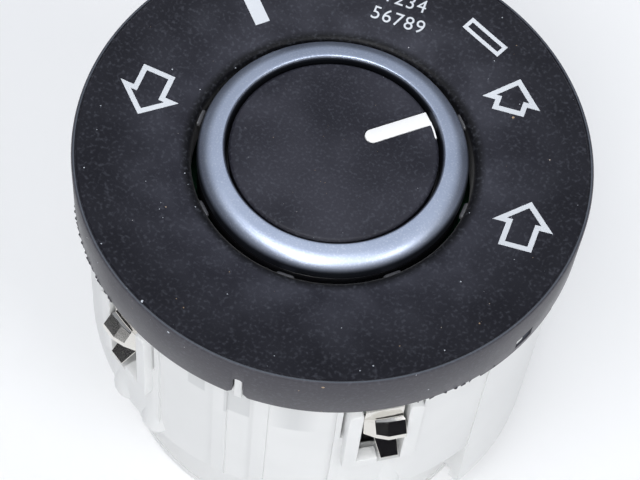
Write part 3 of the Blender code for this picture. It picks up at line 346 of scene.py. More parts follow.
BAND_R = 0.0306
BAND_INNER_R = 0.0286
BAND_LOW_Z = 0.0180
SHELF_THICK = 0.0016
CUP_INNER_R = 0.0248
CUP_LOW_Z = 0.0019
NECK_R = 0.0302
HOUSING_TOP_Z = 0.0494
FLANGE_R = 0.0311
FLANGE_TOP_Z = 0.0463
FLANGE_LOW_Z = 0.0454
FLANGE_SLOPE = 0.0005
DECK_LOW_Z = 0.0341
DECK_TOP_Z = 0.0357
HUB_R = 0.0066
HUB_BORE_R = 0.0048
HUB_LOW_Z = 0.0279
HUB_TOP_Z = 0.0373
housing = turned(
    "white_housing",
    [
        (NECK_R, HOUSING_TOP_Z), (NECK_R, FLANGE_TOP_Z), (FLANGE_R, FLANGE_TOP_Z),
        (FLANGE_R, FLANGE_LOW_Z), (BAND_R, FLANGE_LOW_Z - FLANGE_SLOPE), (BAND_R, BAND_LOW_Z),
        (COVER_R, BAND_LOW_Z), (COVER_R, CUP_LOW_Z), (CUP_INNER_R, CUP_LOW_Z),
        (CUP_INNER_R, BAND_LOW_Z + SHELF_THICK), (BAND_INNER_R, BAND_LOW_Z + SHELF_THICK),
        (BAND_INNER_R, DECK_LOW_Z), (HUB_R, DECK_LOW_Z), (HUB_R, HUB_LOW_Z),
        (HUB_BORE_R, HUB_LOW_Z), (HUB_BORE_R, HUB_TOP_Z), (HUB_R, HUB_TOP_Z),
        (HUB_R, DECK_TOP_Z), (BAND_INNER_R, DECK_TOP_Z), (BAND_INNER_R, HOUSING_TOP_Z),
    ],
    soft=((0, 0.0003), (2, 0.0002), (3, 0.0002), (5, 0.0009), (6, 0.0004), (7, 0.0003)),
)
# Angles are in degrees round the upright axis, counted from the right.
RIGHT = 0.0
BACK = 90.0
LEFT = 180.0
FRONT = -90.0
PANEL_SINK = 0.0004
PANEL_TOP_Z = 0.0445
panels = []
for middle in (FRONT, BACK):
    for start, end in ((-3.3, 3.3), (6.7, 22.3), (-22.3, -6.7)):
        panels.append(wall_piece(
            f"panel_{len(panels)}", BAND_R - PANEL_SINK, BAND_R + 0.002, middle + start, middle + end,
            BAND_LOW_Z - 0.001, PANEL_TOP_Z,
        ))
worked(housing, panels, "DIFFERENCE")

KEY_HALF_ANGLE = 29.6
KEY_LOW_Z = 0.0070
KEY_TOP_Z = 0.0444
KEY_R = BAND_R + 0.0002
WEB_ANGLE = 27.4
WEB_HALF_ANGLE = 1.1
key_parts = [wall_piece(
    "key_wall", KEY_R - 0.0016, KEY_R, -KEY_HALF_ANGLE, KEY_HALF_ANGLE, KEY_LOW_Z, KEY_TOP_Z, 32
)]
for side, at in (("front", -WEB_ANGLE), ("back", WEB_ANGLE)):
    key_parts.append(wall_piece(
        f"key_web_{side}", COVER_R - 0.0009, KEY_R - 0.0008, at - WEB_HALF_ANGLE, at + WEB_HALF_ANGLE,
        KEY_LOW_Z + 0.0006, BAND_LOW_Z + 0.0008, 4,
    ))
worked(housing, key_parts, "UNION")

CLIP_OFFSET = 33.2
# Each clip's angle, and the way along the wall that leads away from the front's or back's middle.
CLIP_PLACES = (
    (FRONT + CLIP_OFFSET, 1.0), (FRONT - CLIP_OFFSET, -1.0),
    (BACK - CLIP_OFFSET, -1.0), (BACK + CLIP_OFFSET, 1.0),
)
WINDOW_HALF = 0.0051
WINDOW_LOW_Z = 0.0363
WINDOW_TOP_Z = 0.0449
POCKET_HALF = 0.0047
POCKET_R = 0.0314
POCKET_LOW_Z = 0.0286
EAR_TOP_Z = 0.0442
MOUTH_HALF = 0.00285
SILL_Z = 0.0308
LEDGE_R = 0.0266
TAIL_SLOT_HALF = 0.0027
OUTSIDE_R = 0.0340
windows = []
mouths = []
frames = []
for number, (angle, away) in enumerate(CLIP_PLACES, 1):
    turn = outward(angle)
    windows.append(through_wall(
        f"window_{number}", WINDOW_HALF, WINDOW_LOW_Z, WINDOW_TOP_Z, LEDGE_R, OUTSIDE_R, turn
    ))
    mouths.append(through_wall(
        f"mouth_{number}", MOUTH_HALF, SILL_Z, WINDOW_LOW_Z + 0.0003, LEDGE_R, OUTSIDE_R, turn
    ))
    mouths.append(through_wall(
        f"tail_slot_{number}", TAIL_SLOT_HALF, SILL_Z - 0.0009, SILL_Z + 0.0003, LEDGE_R - 0.0003,
        0.0297, turn,
    ))
    # The sill is lower under the clip's flat half.
    near_x, far_x = sorted((-0.0002 * away, MOUTH_HALF * away))
    low = (near_x, SILL_Z - 0.0011, 0.0281)
    mouths.append(block(f"low_sill_{number}", low, (far_x, SILL_Z + 0.0004, OUTSIDE_R), 0.0, turn))
    outline = [
        (-POCKET_HALF, POCKET_LOW_Z), (POCKET_HALF, POCKET_LOW_Z), (POCKET_HALF, EAR_TOP_Z),
        (MOUTH_HALF, EAR_TOP_Z), (MOUTH_HALF, SILL_Z), (-MOUTH_HALF, SILL_Z),
        (-MOUTH_HALF, EAR_TOP_Z), (-POCKET_HALF, EAR_TOP_Z),
    ]
    corners = ((0, 0.0016), (1, 0.0016), (2, 0.0009), (7, 0.0009), (3, 0.0004), (6, 0.0004))
    frames.append(slab(f"pocket_{number}", outline, 0.0288, POCKET_R, corners, 0.00015, turn))
worked(housing, windows, "DIFFERENCE")
worked(housing, frames, "UNION")
worked(housing, mouths, "DIFFERENCE")

FOOT_AXIS_R = 0.0292
FOOT_R = 0.0023
feet = []
for middle in (FRONT, BACK):
    for offset in (-37.2, -25.1, 25.1, 37.2):
        angle = math.radians(middle + offset)
        at = (FOOT_AXIS_R * math.cos(angle), FOOT_AXIS_R * math.sin(angle))
        outline = [(0.0, BAND_LOW_Z), (FOOT_R, BAND_LOW_Z), (FOOT_R, 0.0203), (0.0, 0.0313)]
        feet.append(turned(f"foot_{len(feet)}", outline, ((1, 0.0018),), 32, True, at))
worked(housing, feet, "UNION")

LATCH_OFFSET = 23.3
LATCH_ANGLES = [side + offset for side in (RIGHT, LEFT) for offset in (-LATCH_OFFSET, LATCH_OFFSET)]
grips = []
for number, angle in enumerate(LATCH_ANGLES):
    low = (-0.00125, 0.0474, 0.0298)
    grips.append(block(f"latch_nose_{number}", low, (0.0001, 0.0488, 0.03182), 0.0002, outward(angle)))
NUB_HALF = 0.0005
nub_outline = [(-NUB_HALF, 0.0457), (NUB_HALF, 0.0457), (NUB_HALF, 0.0506), (-NUB_HALF, 0.0506)]
nub_corners = ((2, 0.00045), (3, 0.00045))
grips.append(slab("nub", nub_outline, 0.0298, 0.03175, nub_corners, 0.0001, outward(FRONT)))
worked(housing, grips, "UNION")
smooth(housing)


def make_painted_shade_field():
    """Mask of a field on a round wall, between two angles from the front and two heights."""
    group, come, leave = new_group(
        "painted_shade_field",
        (
            ("Place", "Vector"), ("Middle", "Float"), ("Half Width", "Float"), ("Low", "Float"),
            ("Soft", "Float"),
        ),
        (("Mask", "Float"),),
    )
    split = group.nodes.new("ShaderNodeSeparateXYZ")
    wire(group, come.outputs["Place"], split, "Vector")
    forward = math_step(group, "MULTIPLY", split.outputs["Y"], -1.0)
    angle = math_step(group, "ARCTAN2", split.outputs["X"], forward)
    offset = math_step(group, "SUBTRACT", angle, come.outputs["Middle"])
    away = math_step(group, "ABSOLUTE", offset, 0.0)
    inside = math_step(group, "SUBTRACT", come.outputs["Half Width"], away)
    across = group.nodes.new("ShaderNodeMapRange")
    wire(group, inside, across, "Value")
    wire(group, come.outputs["Soft"], across, "From Max")
    above = group.nodes.new("ShaderNodeMapRange")
    above.inputs["From Max"].default_value = 0.0004
    wire(group, math_step(group, "SUBTRACT", split.outputs["Z"], come.outputs["Low"]), above, "Value")
    below = math_step(group, "LESS_THAN", split.outputs["Z"], 0.0450)
    field = math_step(group, "MULTIPLY", across.outputs["Result"], above.outputs["Result"])
    wire(group, math_step(group, "MULTIPLY", field, below), leave, "Mask")
    return group


painted_shade_field = make_painted_shade_field()


def laid_over(material, amount, tone=None, tones=None):
    """Puts one more colour over a finish, where and as much as a mask says."""
    tree = material.node_tree
    colour = tree.nodes["Principled BSDF"].inputs["Base Color"]
    under = colour.links[0].from_socket
    over = tree.nodes.new("ShaderNodeMix")
    over.data_type = "RGBA"
    wire(tree, amount, over, "Factor")
    wire(tree, under, over, "A")
    if tones is None:
        over.inputs["B"].default_value = (*tone, 1.0)
    else:
        wire(tree, tones, over, "B")
    tree.links.new(over.outputs["Result"], colour)
    return material


# Painted shade: three faint grey fields where the deck and its webs show dark through the thin
# wall. Each has its middle and half width in degrees from the front, its low edge, and its softness
# in degrees.
PAINTED_SHADE_FIELDS = ((-11.6, 2.5, 0.0395, 0.4), (-0.9, 3.2, 0.0375, 0.3), (12.6, 5.8, 0.0368, 5.0))
wall_moulding_with_painted_shade = white_moulding.copy()
wall_moulding_with_painted_shade.name = "white_wall_with_painted_shade"
for middle, half, low, soft in PAINTED_SHADE_FIELDS:
    tree = wall_moulding_with_painted_shade.node_tree
    field = tree.nodes.new("ShaderNodeGroup")
    field.node_tree = painted_shade_field
    field.inputs["Middle"].default_value = math.radians(middle)
    field.inputs["Half Width"].default_value = math.radians(half)
    field.inputs["Low"].default_value = low
    field.inputs["Soft"].default_value = math.radians(soft)
    wire(tree, tree.nodes["Texture Coordinate"].outputs["Object"], field, "Place")
    # Lays each field of painted shade over the white wall.
    faint = math_step(tree, "MULTIPLY", field.outputs["Mask"], 0.8)
    laid_over(wall_moulding_with_painted_shade, faint, (0.66, 0.67, 0.67))
housing.data.materials.append(wall_moulding_with_painted_shade)
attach(housing, "switch_body")
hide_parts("housing")


# Spring clips.
# Four leaves bent from bright nickelled spring steel. Each comes down behind its window, has
# a nose with a ramp, flat on one half and tapered on the other, and flares out at the sill.
nickel = moulded_finish(
    "bright_nickel", ((0.70, 0.68, 0.63), (0.78, 0.76, 0.72)), (0.08, 0.16),
    grain=1500.0, depth=0.000003, blotch=60.0, metallic=1.0,
)
CLIP_HALF = 0.00255
CLIP_RIDGE_X = 0.0003
CLIP_TAPER = 0.00145
# Radius and height of each bend, then the shares of the taper and of the two half widths.
CLIP_BENDS = (
    (0.0281, 0.0488, 0.0, 1.0, 0.9), (0.0281, 0.0442, 0.0, 1.0, 0.9),
    (0.0307, 0.0438, 0.0, 1.0, 0.9), (0.0307, 0.0412, 0.2, 1.0, 0.9),
    (0.0312, 0.0409, 0.5, 1.0, 1.0), (0.0324, 0.0394, 1.0, 1.0, 1.0),
    (0.0325, 0.0389, 1.0, 1.0, 1.0), (0.0308, 0.0370, 0.6, 0.8, 1.0),
    (0.0288, 0.0353, 0.15, 0.4, 1.0), (0.0287, 0.0348, 0.0, 0.3, 0.95),
    (0.0316, 0.0312, 0.0, -0.05, 0.95),
)
last_row = len(CLIP_BENDS) - 1
for number, (angle, away) in enumerate(CLIP_PLACES, 1):
    shape = bmesh.new()
    bmesh.ops.create_grid(shape, x_segments=4, y_segments=last_row, size=1.0)
    for point in shape.verts:
        radius, height, taper, near, far = CLIP_BENDS[round((point.co.y + 1.0) / 2.0 * last_row)]
        side = point.co.x
        edge = far * CLIP_HALF if side > 0 else -near * CLIP_HALF
        x = CLIP_RIDGE_X + (edge - CLIP_RIDGE_X) * abs(side)
        drop = CLIP_TAPER * taper * abs(side) ** 1.4 if side < 0 else 0.0
        point.co = (away * x, height, radius - drop)
    bmesh.ops.transform(shape, verts=shape.verts, matrix=outward(angle))
    clip = piece_from(shape, f"bent_clip_{number}")
    sheet = clip.modifiers.new("sheet", "SOLIDIFY")
    sheet.thickness = 0.00036
    sheet.offset = 0.0
    sheet.use_even_offset = True
    edges = clip.modifiers.new("edges", "BEVEL")
    edges.width = 0.00009
    edges.segments = 2
    edges.limit_method = "ANGLE"
    edges.angle_limit = math.radians(20.0)
    edges.harden_normals = True
    smooth(clip, 12.0)
    clip.data.materials.append(nickel)
    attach(clip, "switch_body")
    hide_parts(f"spring_clip_{number}")


# Fascia.
# One black moulding with a soft, finely grained paint: a dished face, a rolled edge round
# the knob's hole and a rim that reaches down over the housing.
def make_stray_dust():
    """Small pale and tan specks, each in a cell of its own, on a share of the cells."""
    group, come, leave = new_group(
        "stray_dust",
        (("Place", "Vector"), ("Cell Scale", "Float"), ("Share", "Float"), ("Size", "Float")),
        (("Mask", "Float"), ("Tint", "Color")),
    )
    cells = group.nodes.new("ShaderNodeTexVoronoi")
    wire(group, come.outputs["Place"], cells, "Vector")
    wire(group, come.outputs["Cell Scale"], cells, "Scale")
    chance = group.nodes.new("ShaderNodeSeparateColor")
    wire(group, cells.outputs["Color"], chance, "Color")
    chosen = math_step(group, "LESS_THAN", chance.outputs["Red"], come.outputs["Share"])
    reach = math_step(group, "MULTIPLY", chance.outputs["Green"], come.outputs["Size"])
    near = math_step(group, "LESS_THAN", cells.outputs["Distance"], reach)
    wire(group, math_step(group, "MULTIPLY", chosen, near), leave, "Mask")
    tones = group.nodes.new("ShaderNodeValToRGB")
    pale, tan = tones.color_ramp.elements
    pale.color = (0.62, 0.66, 0.72, 1.0)
    pale.position = 0.45
    tan.color = (0.42, 0.30, 0.19, 1.0)
    tan.position = 0.75
    wire(group, chance.outputs["Blue"], tones, "Fac")
    wire(group, tones.outputs["Color"], leave, "Tint")
    return group


stray_dust = make_stray_dust()


def dusted(material, cell_scale, share, size, strength=1.0):
    """Lays stray dust over a finish."""
    tree = material.node_tree
    specks = tree.nodes.new("ShaderNodeGroup")
    specks.node_tree = stray_dust
    specks.inputs["Cell Scale"].default_value = cell_scale
    specks.inputs["Share"].default_value = share
    specks.inputs["Size"].default_value = size
    wire(tree, tree.nodes["Texture Coordinate"].outputs["Object"], specks, "Place")
    amount = math_step(tree, "MULTIPLY", specks.outputs["Mask"], strength)
    return laid_over(material, amount, tones=specks.outputs["Tint"])


def flecked(material, scale, tone, share):
    """Lets the fine pale flecks of a coating show."""
    tree = material.node_tree
    skin = tree.nodes["skin"]
    skin.inputs["Fleck Scale"].default_value = scale
    return laid_over(material, math_step(tree, "MULTIPLY", skin.outputs["Fleck"], share), tone)


def make_out_from_axis():
    """Share of the way between two distances from the switch's upright axis."""
    group, come, leave = new_group(
        "out_from_axis",
        (("Place", "Vector"), ("Start", "Float"), ("End", "Float")),
        (("Share", "Float"),),
    )
    flat = group.nodes.new("ShaderNodeVectorMath")
    flat.operation = "MULTIPLY"
    flat.inputs[1].default_value = (1.0, 1.0, 0.0)
    group.links.new(come.outputs["Place"], flat.inputs[0])
    reach = group.nodes.new("ShaderNodeVectorMath")
    reach.operation = "LENGTH"
    group.links.new(flat.outputs["Vector"], reach.inputs[0])
    share = group.nodes.new("ShaderNodeMapRange")
    wire(group, reach.outputs["Value"], share, "Value")
    wire(group, come.outputs["Start"], share, "From Min")
    wire(group, come.outputs["End"], share, "From Max")
    wire(group, share.outputs["Result"], leave, "Share")
    return group


out_from_axis = make_out_from_axis()


def toned_outwards(material, start, end, tone, share):
    """Blends a finish into another tone on the way from one distance from the axis to another."""
    tree = material.node_tree
    step = tree.nodes.new("ShaderNodeGroup")
    step.node_tree = out_from_axis
    step.inputs["Start"].default_value = start
    step.inputs["End"].default_value = end
    wire(tree, tree.nodes["Texture Coordinate"].outputs["Object"], step, "Place")
    return laid_over(material, math_step(tree, "MULTIPLY", step.outputs["Share"], share), tone)


def tuned(material, settings):
    """Sets plain numbers and colours on a finish's own shader."""
    for socket, value in settings.items():
        material.node_tree.nodes["Principled BSDF"].inputs[socket].default_value = value
    return material


black_paint = moulded_finish(
    "black_soft_paint", ((0.018, 0.018, 0.026), (0.044, 0.045, 0.059)), (0.40, 0.48),
    grain=3400.0, depth=0.00002, blotch=170.0,
)
tuned(black_paint, {"Specular IOR Level": 0.24, "Sheen Weight": 0.14, "Sheen Roughness": 0.42})
# Darker towards the edge; painted shade down in the hole; a painted highlight as a pale line on the
# bead; a greyer rim, partly its own tone and partly painted sheen.
toned_outwards(black_paint, 0.0205, 0.0290, (0.006, 0.006, 0.010), 0.80)
# Painted shade: the rolled edge darkens to near black down into the hole.
toned_outwards(black_paint, 0.0190, 0.0182, (0.001, 0.001, 0.002), 0.9)
# Painted highlight: a pale line along the bead at the face's edge.
toned_outwards(black_paint, 0.03158, 0.03162, (0.09, 0.10, 0.12), 1.0)
# A greyer rim: partly the rim's own unpainted tone, partly painted sheen.
toned_outwards(black_paint, 0.03176, 0.03182, (0.056, 0.054, 0.065), 1.0)
flecked(black_paint, 2200.0, (0.19, 0.20, 0.24), 0.16)
dusted(black_paint, 430.0, 0.26, 0.085)
dusted(black_paint, 1000.0, 0.34, 0.10, 0.8)

DIAL_R = 0.0320
RIM_INNER_R = 0.0306
RIM_LOW_Z = 0.0466
DIAL_THICK = 0.0015
HOLE_R = 0.0175
COLLAR_R = 0.0189
COLLAR_LOW_Z = 0.0475
FACE_R = 0.03130
FACE_EDGE_R = 0.03145
FACE_EDGE_Z = 0.05435
GROOVE_Z = 0.05420
BEAD_Z = 0.05433
DISH = math.tan(math.radians(8.4))


def dial_height(radius):
    """Height of the dished face, which falls from its outer edge inwards."""
    return FACE_EDGE_Z - (FACE_EDGE_R - radius) * DISH


dial = turned(
    "dial",
    [
        (HOLE_R, dial_height(HOLE_R)), (FACE_R, dial_height(FACE_R)), (0.03140, GROOVE_Z),
        (0.03152, GROOVE_Z), (0.03160, BEAD_Z), (0.03174, BEAD_Z), (0.03190, 0.05424),
        (DIAL_R, 0.05402), (DIAL_R, RIM_LOW_Z), (RIM_INNER_R, RIM_LOW_Z),
        (RIM_INNER_R, dial_height(RIM_INNER_R) - DIAL_THICK),
        (COLLAR_R, dial_height(COLLAR_R) - DIAL_THICK), (COLLAR_R, COLLAR_LOW_Z),
        (HOLE_R, COLLAR_LOW_Z),
    ],
    soft=((0, 0.0008), (8, 0.0002), (9, 0.0002)), facets=256,
)
NOTCH_HALF = 0.0007
NOTCH_MOUTH_HALF = 0.0014
NOTCH_TOP_Z = 0.0508
CUT_INNER_R = 0.0304
CUT_OUTER_R = 0.0334
notch_outline = [
    (-NOTCH_MOUTH_HALF, 0.0452), (NOTCH_MOUTH_HALF, 0.0452), (NOTCH_MOUTH_HALF, RIM_LOW_Z),
    (NOTCH_HALF, 0.0475), (NOTCH_HALF, NOTCH_TOP_Z), (-NOTCH_HALF, NOTCH_TOP_Z),
    (-NOTCH_HALF, 0.0475), (-NOTCH_MOUTH_HALF, RIM_LOW_Z),
]
notch_corners = ((4, 0.00066), (5, 0.00066))
rim_cuts = [slab("notch", notch_outline, CUT_INNER_R, CUT_OUTER_R, notch_corners, 0.0, outward(FRONT))]
for number, angle in enumerate(LATCH_ANGLES):
    rim_cuts.append(through_wall(
        f"latch_window_{number}", 0.00145, 0.0471, 0.0489, CUT_INNER_R, CUT_OUTER_R, outward(angle)
    ))
# The rim reaches a little lower round its latch windows.
latch_tabs = []
for middle in (RIGHT, LEFT):
    for first, last in ((-35.5, -12.0), (12.0, 35.5)):
        latch_tabs.append(wall_piece(
            f"latch_tab_{len(latch_tabs)}", POCKET_R, DIAL_R - 0.00002, middle + first, middle + last,
            RIM_LOW_Z - 0.0004, RIM_LOW_Z + 0.0004,
        ))
worked(dial, latch_tabs, "UNION")
worked(dial, rim_cuts, "DIFFERENCE")
smooth(dial)
dial.data.materials.append(black_paint)
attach(dial, "switch_body")
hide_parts("fascia")

# Torn flash and crumbs of paint hang on the rim's lower edge, mostly on the left.
CRUMBS_LEFT = 28
CRUMBS_RIGHT = 8
CRUMB_R = 0.03190
CRUMB_SIDES = 7
to_hang = Matrix.Rotation(math.pi / 2, 3, "X")
crumbs = bmesh.new()
for number in range(CRUMBS_LEFT + CRUMBS_RIGHT):
    if number < CRUMBS_LEFT:
        angle = -151.0 + 0.95 * number
    else:
        angle = -50.0 + 2.5 * (number - CRUMBS_LEFT)
    angle += 0.8 * math.sin(5.1 * number)
    width = 0.00028 + 0.00030 * math.sin(3.7 * number) ** 2
    hang = 0.00036 + 0.00034 * abs(math.sin(2.3 * number + 1.0))
    place = Matrix.Translation((0.0, RIM_LOW_Z - 0.1 * hang, CRUMB_R))
    tilt = Matrix.Rotation(0.7 * math.sin(1.9 * number), 4, "Z")
    crumb = bmesh.ops.create_cone(
        crumbs, cap_ends=True, segments=CRUMB_SIDES, radius1=width / 2, radius2=width / 5, depth=hang,
    )["verts"]
    bmesh.ops.rotate(crumbs, verts=crumb, cent=(0.0, 0.0, 0.0), matrix=to_hang)
    bmesh.ops.transform(crumbs, verts=crumb, matrix=outward(angle) @ place @ tilt)
rim_crumbs = piece_from(crumbs, "rim_crumbs")
rim_crumbs.data.materials.append(black_paint)
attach(rim_crumbs, "switch_body")


# Marks on the dial.
# Pale lit symbols flush with the dished face: hollow arrows, a hollow bar, one solid bar and
# plain numbers. Each is a thin flat outline laid down on the dish. Sizes here are millimetres.
mark_white = moulded_finish(
    "mark_white", ((0.70, 0.73, 0.77), (0.78, 0.81, 0.85)), (0.40, 0.50),
    grain=3000.0, depth=0.000008,
)
MM = 0.001
MARK_THICK = 0.00008
MARK_SINK = 0.00006
LONGEST_EDGE = 0.0012


def laid_on_dial(shape, name):
    """Drops a flat shape on the dish, gives it a thin body and its finish."""
    bmesh.ops.triangulate(shape, faces=shape.faces[:])
    long_edges = [e for e in shape.edges if e.calc_length() > LONGEST_EDGE]
    bmesh.ops.subdivide_edges(shape, edges=long_edges, cuts=3)
    bmesh.ops.triangulate(shape, faces=shape.faces[:])
    bmesh.ops.recalc_face_normals(shape, faces=shape.faces)
    if sum(face.normal.z for face in shape.faces) < 0:
        bmesh.ops.reverse_faces(shape, faces=shape.faces[:])
    grown = bmesh.ops.extrude_face_region(shape, geom=shape.faces[:])["geom"]
    top = [part for part in grown if isinstance(part, bmesh.types.BMVert)]
    for point in shape.verts:
        point.co.z = dial_height(math.hypot(point.co.x, point.co.y)) - MARK_SINK
    for point in top:
        point.co.z += MARK_THICK
    mark = piece_from(shape, name)
    mark.data.materials.append(mark_white)
    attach(mark, "switch_body")
    return mark


def flat_face(outline):
    """A shape with one flat face, from an outline in millimetres."""
    shape = bmesh.new()
    face = shape.faces.new([shape.verts.new((x * MM, y * MM, 0.0)) for x, y in outline])
    return shape, face


def hollow_mark(name, outline, line):
    """A closed outline drawn with a line of even width."""
    shape, face = flat_face(outline)
    bmesh.ops.recalc_face_normals(shape, faces=[face])
    bmesh.ops.inset_region(
        shape, faces=[face], thickness=line * MM, use_even_offset=True, use_boundary=True
    )
    bmesh.ops.delete(shape, geom=[face], context="FACES_ONLY")
    return laid_on_dial(shape, name)


def arrow(name, tip, head, barb_y, tail, foot_y, line):
    """A hollow arrow from its tip, its head's and tail's widths and its barbs' and foot's places."""
    x, y = tip
    outline = [
        (x, y), (x + head / 2, barb_y), (x + tail / 2, barb_y), (x + tail / 2, foot_y),
        (x - tail / 2, foot_y), (x - tail / 2, barb_y), (x - head / 2, barb_y),
    ]
    return hollow_mark(name, outline, line)


def turned_point(along, across, degrees, middle=(0.0, 0.0)):
    """A point given along and across a line that leaves a middle at an angle."""
    turn = math.radians(degrees)
    return (
        middle[0] + along * math.cos(turn) - across * math.sin(turn),
        middle[1] + along * math.sin(turn) + across * math.cos(turn),
    )


ARROW_LINE = 0.66
arrow("mark_down", (-24.27, -4.0), -7.75, -0.28, -4.2, 3.0, ARROW_LINE)
arrow("mark_up", (24.78, 2.5), 7.55, -1.2, 4.1, -4.52, ARROW_LINE)
arrow("mark_step_up", (18.1, 19.1), 7.5, 15.4, 4.1, 14.0, ARROW_LINE)
hollow_bar = [
    turned_point(along, across, -26.2, (11.96, 23.53))
    for along, across in ((-3.1, -0.93), (3.1, -0.93), (3.1, 0.93), (-3.1, 0.93))
]
hollow_mark("mark_hollow_bar", hollow_bar, 0.5)
BAR_HALF = 0.97
solid_bar = [
    turned_point(out, across, 135.0)
    for out, across in ((21.4, -BAR_HALF), (27.6, -BAR_HALF), (27.6, BAR_HALF), (21.4, BAR_HALF))
]
laid_on_dial(flat_face(solid_bar)[0], "mark_solid_bar")
for name, words, baseline in (
    ("mark_numbers_low", "56789", 21.35), ("mark_numbers_high", "1234", 24.25),
):
    text = bpy.data.curves.new(name, "FONT")
    text.body = words
    text.size = 2.65 * MM
    text.space_character = 1.12
    text.align_x = "CENTER"
    writing = bpy.data.objects.new(name + "_curve", text)
    bpy.context.scene.collection.objects.link(writing)
    bpy.context.view_layer.update()
    seen_writing = writing.evaluated_get(bpy.context.evaluated_depsgraph_get())
    shape = bmesh.new()
    shape.from_mesh(bpy.data.meshes.new_from_object(seen_writing))
    bpy.data.objects.remove(writing, do_unlink=True)
    bmesh.ops.remove_doubles(shape, verts=shape.verts, dist=0.000002)
    bmesh.ops.translate(shape, verts=shape.verts, vec=(0.7 * MM, baseline * MM, 0.0))
    laid_on_dial(shape, name)


# Knob body.
# A black glossy moulding: the skirt that stands in the groove of the dial, closed on top by
# the web that carries the ring and the cap.
black_gloss = moulded_finish(
    "black_gloss", ((0.006, 0.006, 0.007), (0.010, 0.010, 0.012)), (0.16, 0.28),
    grain=2200.0, depth=0.000006,
)
SKIRT_R = 0.0167
SKIRT_INNER_R = 0.0153
SKIRT_LOW_Z = 0.0460
WEB_TOP_Z = 0.0515
WEB_LOW_Z = 0.0497
KNOB_HUB_R = 0.0054
KNOB_HUB_LOW_Z = 0.0437
skirt = turned(
    "knob_skirt",
    [
        (0.0, WEB_TOP_Z), (SKIRT_R, WEB_TOP_Z), (SKIRT_R, SKIRT_LOW_Z), (SKIRT_INNER_R, SKIRT_LOW_Z),
        (SKIRT_INNER_R, WEB_LOW_Z), (KNOB_HUB_R, WEB_LOW_Z), (KNOB_HUB_R, KNOB_HUB_LOW_Z),
        (0.0, KNOB_HUB_LOW_Z),
    ],
    soft=((1, 0.0003), (2, 0.0002), (3, 0.0002)), open_at_axis=True,
)
smooth(skirt)
skirt.data.materials.append(black_gloss)
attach(skirt, "knob")
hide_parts("knob_body")


# Groove lugs.
# Eight small glossy lugs on the wall of the dial's hole, which centre the knob and show as
# bright glints down in the groove; their grey tone, lighter than the black dial, is a painted glint.
# Painted glint: a grey tone stands for the glints; the lugs themselves are black.
lug_gloss_painted_glint = moulded_finish(
    "lug_gloss_painted_glint", ((0.09, 0.09, 0.10), (0.15, 0.15, 0.16)), (0.10, 0.16),
    grain=2200.0, depth=0.000004,
)
LUG_ANGLES = [FRONT + 1.0 + 43.5 * step for step in range(4)]
LUG_ANGLES += [FRONT - 44.5 * step for step in range(1, 5)]
LUG_LOW = (-0.0012, 0.0508, 0.01705)
LUG_HIGH = (0.0012, 0.0517, 0.0179)
for number, angle in enumerate(LUG_ANGLES, 1):
    lug = block(f"groove_lug_{number}", LUG_LOW, LUG_HIGH, 0.00036, outward(angle))
    smooth(lug, 60.0)
    lug.data.materials.append(lug_gloss_painted_glint)
    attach(lug, "switch_body")


# Knob ring.
# A ring with a crest round the cap and a long rounded slope outside, coated in satin
# blue-grey metallic paint with fine flakes.
ring_metal = moulded_finish(
    "satin_ring_paint", ((0.50, 0.57, 0.72), (0.58, 0.65, 0.80)), (0.38, 0.46),
    grain=5200.0, depth=0.00001, blotch=120.0, metallic=0.92,
)
flecked(ring_metal, 4200.0, (0.86, 0.90, 1.0), 0.50)
dusted(ring_metal, 1300.0, 0.20, 0.07, 0.5)
# Painted shade: the ring darkens to black on its inner wall, in the narrow gap by the cap, and
# low on its outer slope.
# Painted shade on the inner wall, by the cap.
toned_outwards(ring_metal, 0.01355, 0.01340, (0.02, 0.022, 0.03), 0.95)
# Painted shade low on the outer slope.
toned_outwards(ring_metal, 0.01640, 0.01674, (0.015, 0.017, 0.025), 0.92)
RING_INNER_R = 0.0133
RING_LOW_Z = 0.0518
CREST_Z = 0.0546
ring = turned(
    "metal_ring",
    [
        (RING_INNER_R, RING_LOW_Z), (RING_INNER_R, 0.0541), (0.01362, CREST_Z), (0.0139, CREST_Z),
        (0.0153, 0.05448), (0.0162, 0.0539), (0.0167, 0.0531), (0.0168, 0.0524), (0.0168, RING_LOW_Z),
    ],
    soft=((1, 0.0001), (2, 0.0001), (3, 0.0001), (4, 0.0005), (5, 0.0004), (6, 0.0003), (7, 0.0002)),
    facets=256,
)
smooth(ring, 60.0)
ring.data.materials.append(ring_metal)
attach(ring, "knob")
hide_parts("knob_ring")


# Knob cap and pointer.
# The cap is a slightly crowned black disc with a leather-like soft grain, slotted for the
# pointer: a milky white bar that lies flush, with a faint painted glow as if lit from below.
cap_grain = moulded_finish(
    "cap_soft_grain", ((0.014, 0.014, 0.021), (0.040, 0.040, 0.053)), (0.46, 0.56),
    grain=2300.0, depth=0.00004,
)
tuned(cap_grain, {"Specular IOR Level": 0.28})
flecked(cap_grain, 2600.0, (0.13, 0.14, 0.17), 0.26)
dusted(cap_grain, 700.0, 0.10, 0.055)
dusted(cap_grain, 1600.0, 0.30, 0.085, 0.7)

CAP_R = 0.0129
CAP_TOP_Z = 0.0543
CAP_FALL = 0.0003
CAP_CHAMFER = 0.0003
CROWN_STEPS = 8


def cap_height(radius):
    """Height of the cap's crown, which falls off towards its edge."""
    return CAP_TOP_Z - CAP_FALL * (radius / CAP_R) ** 2


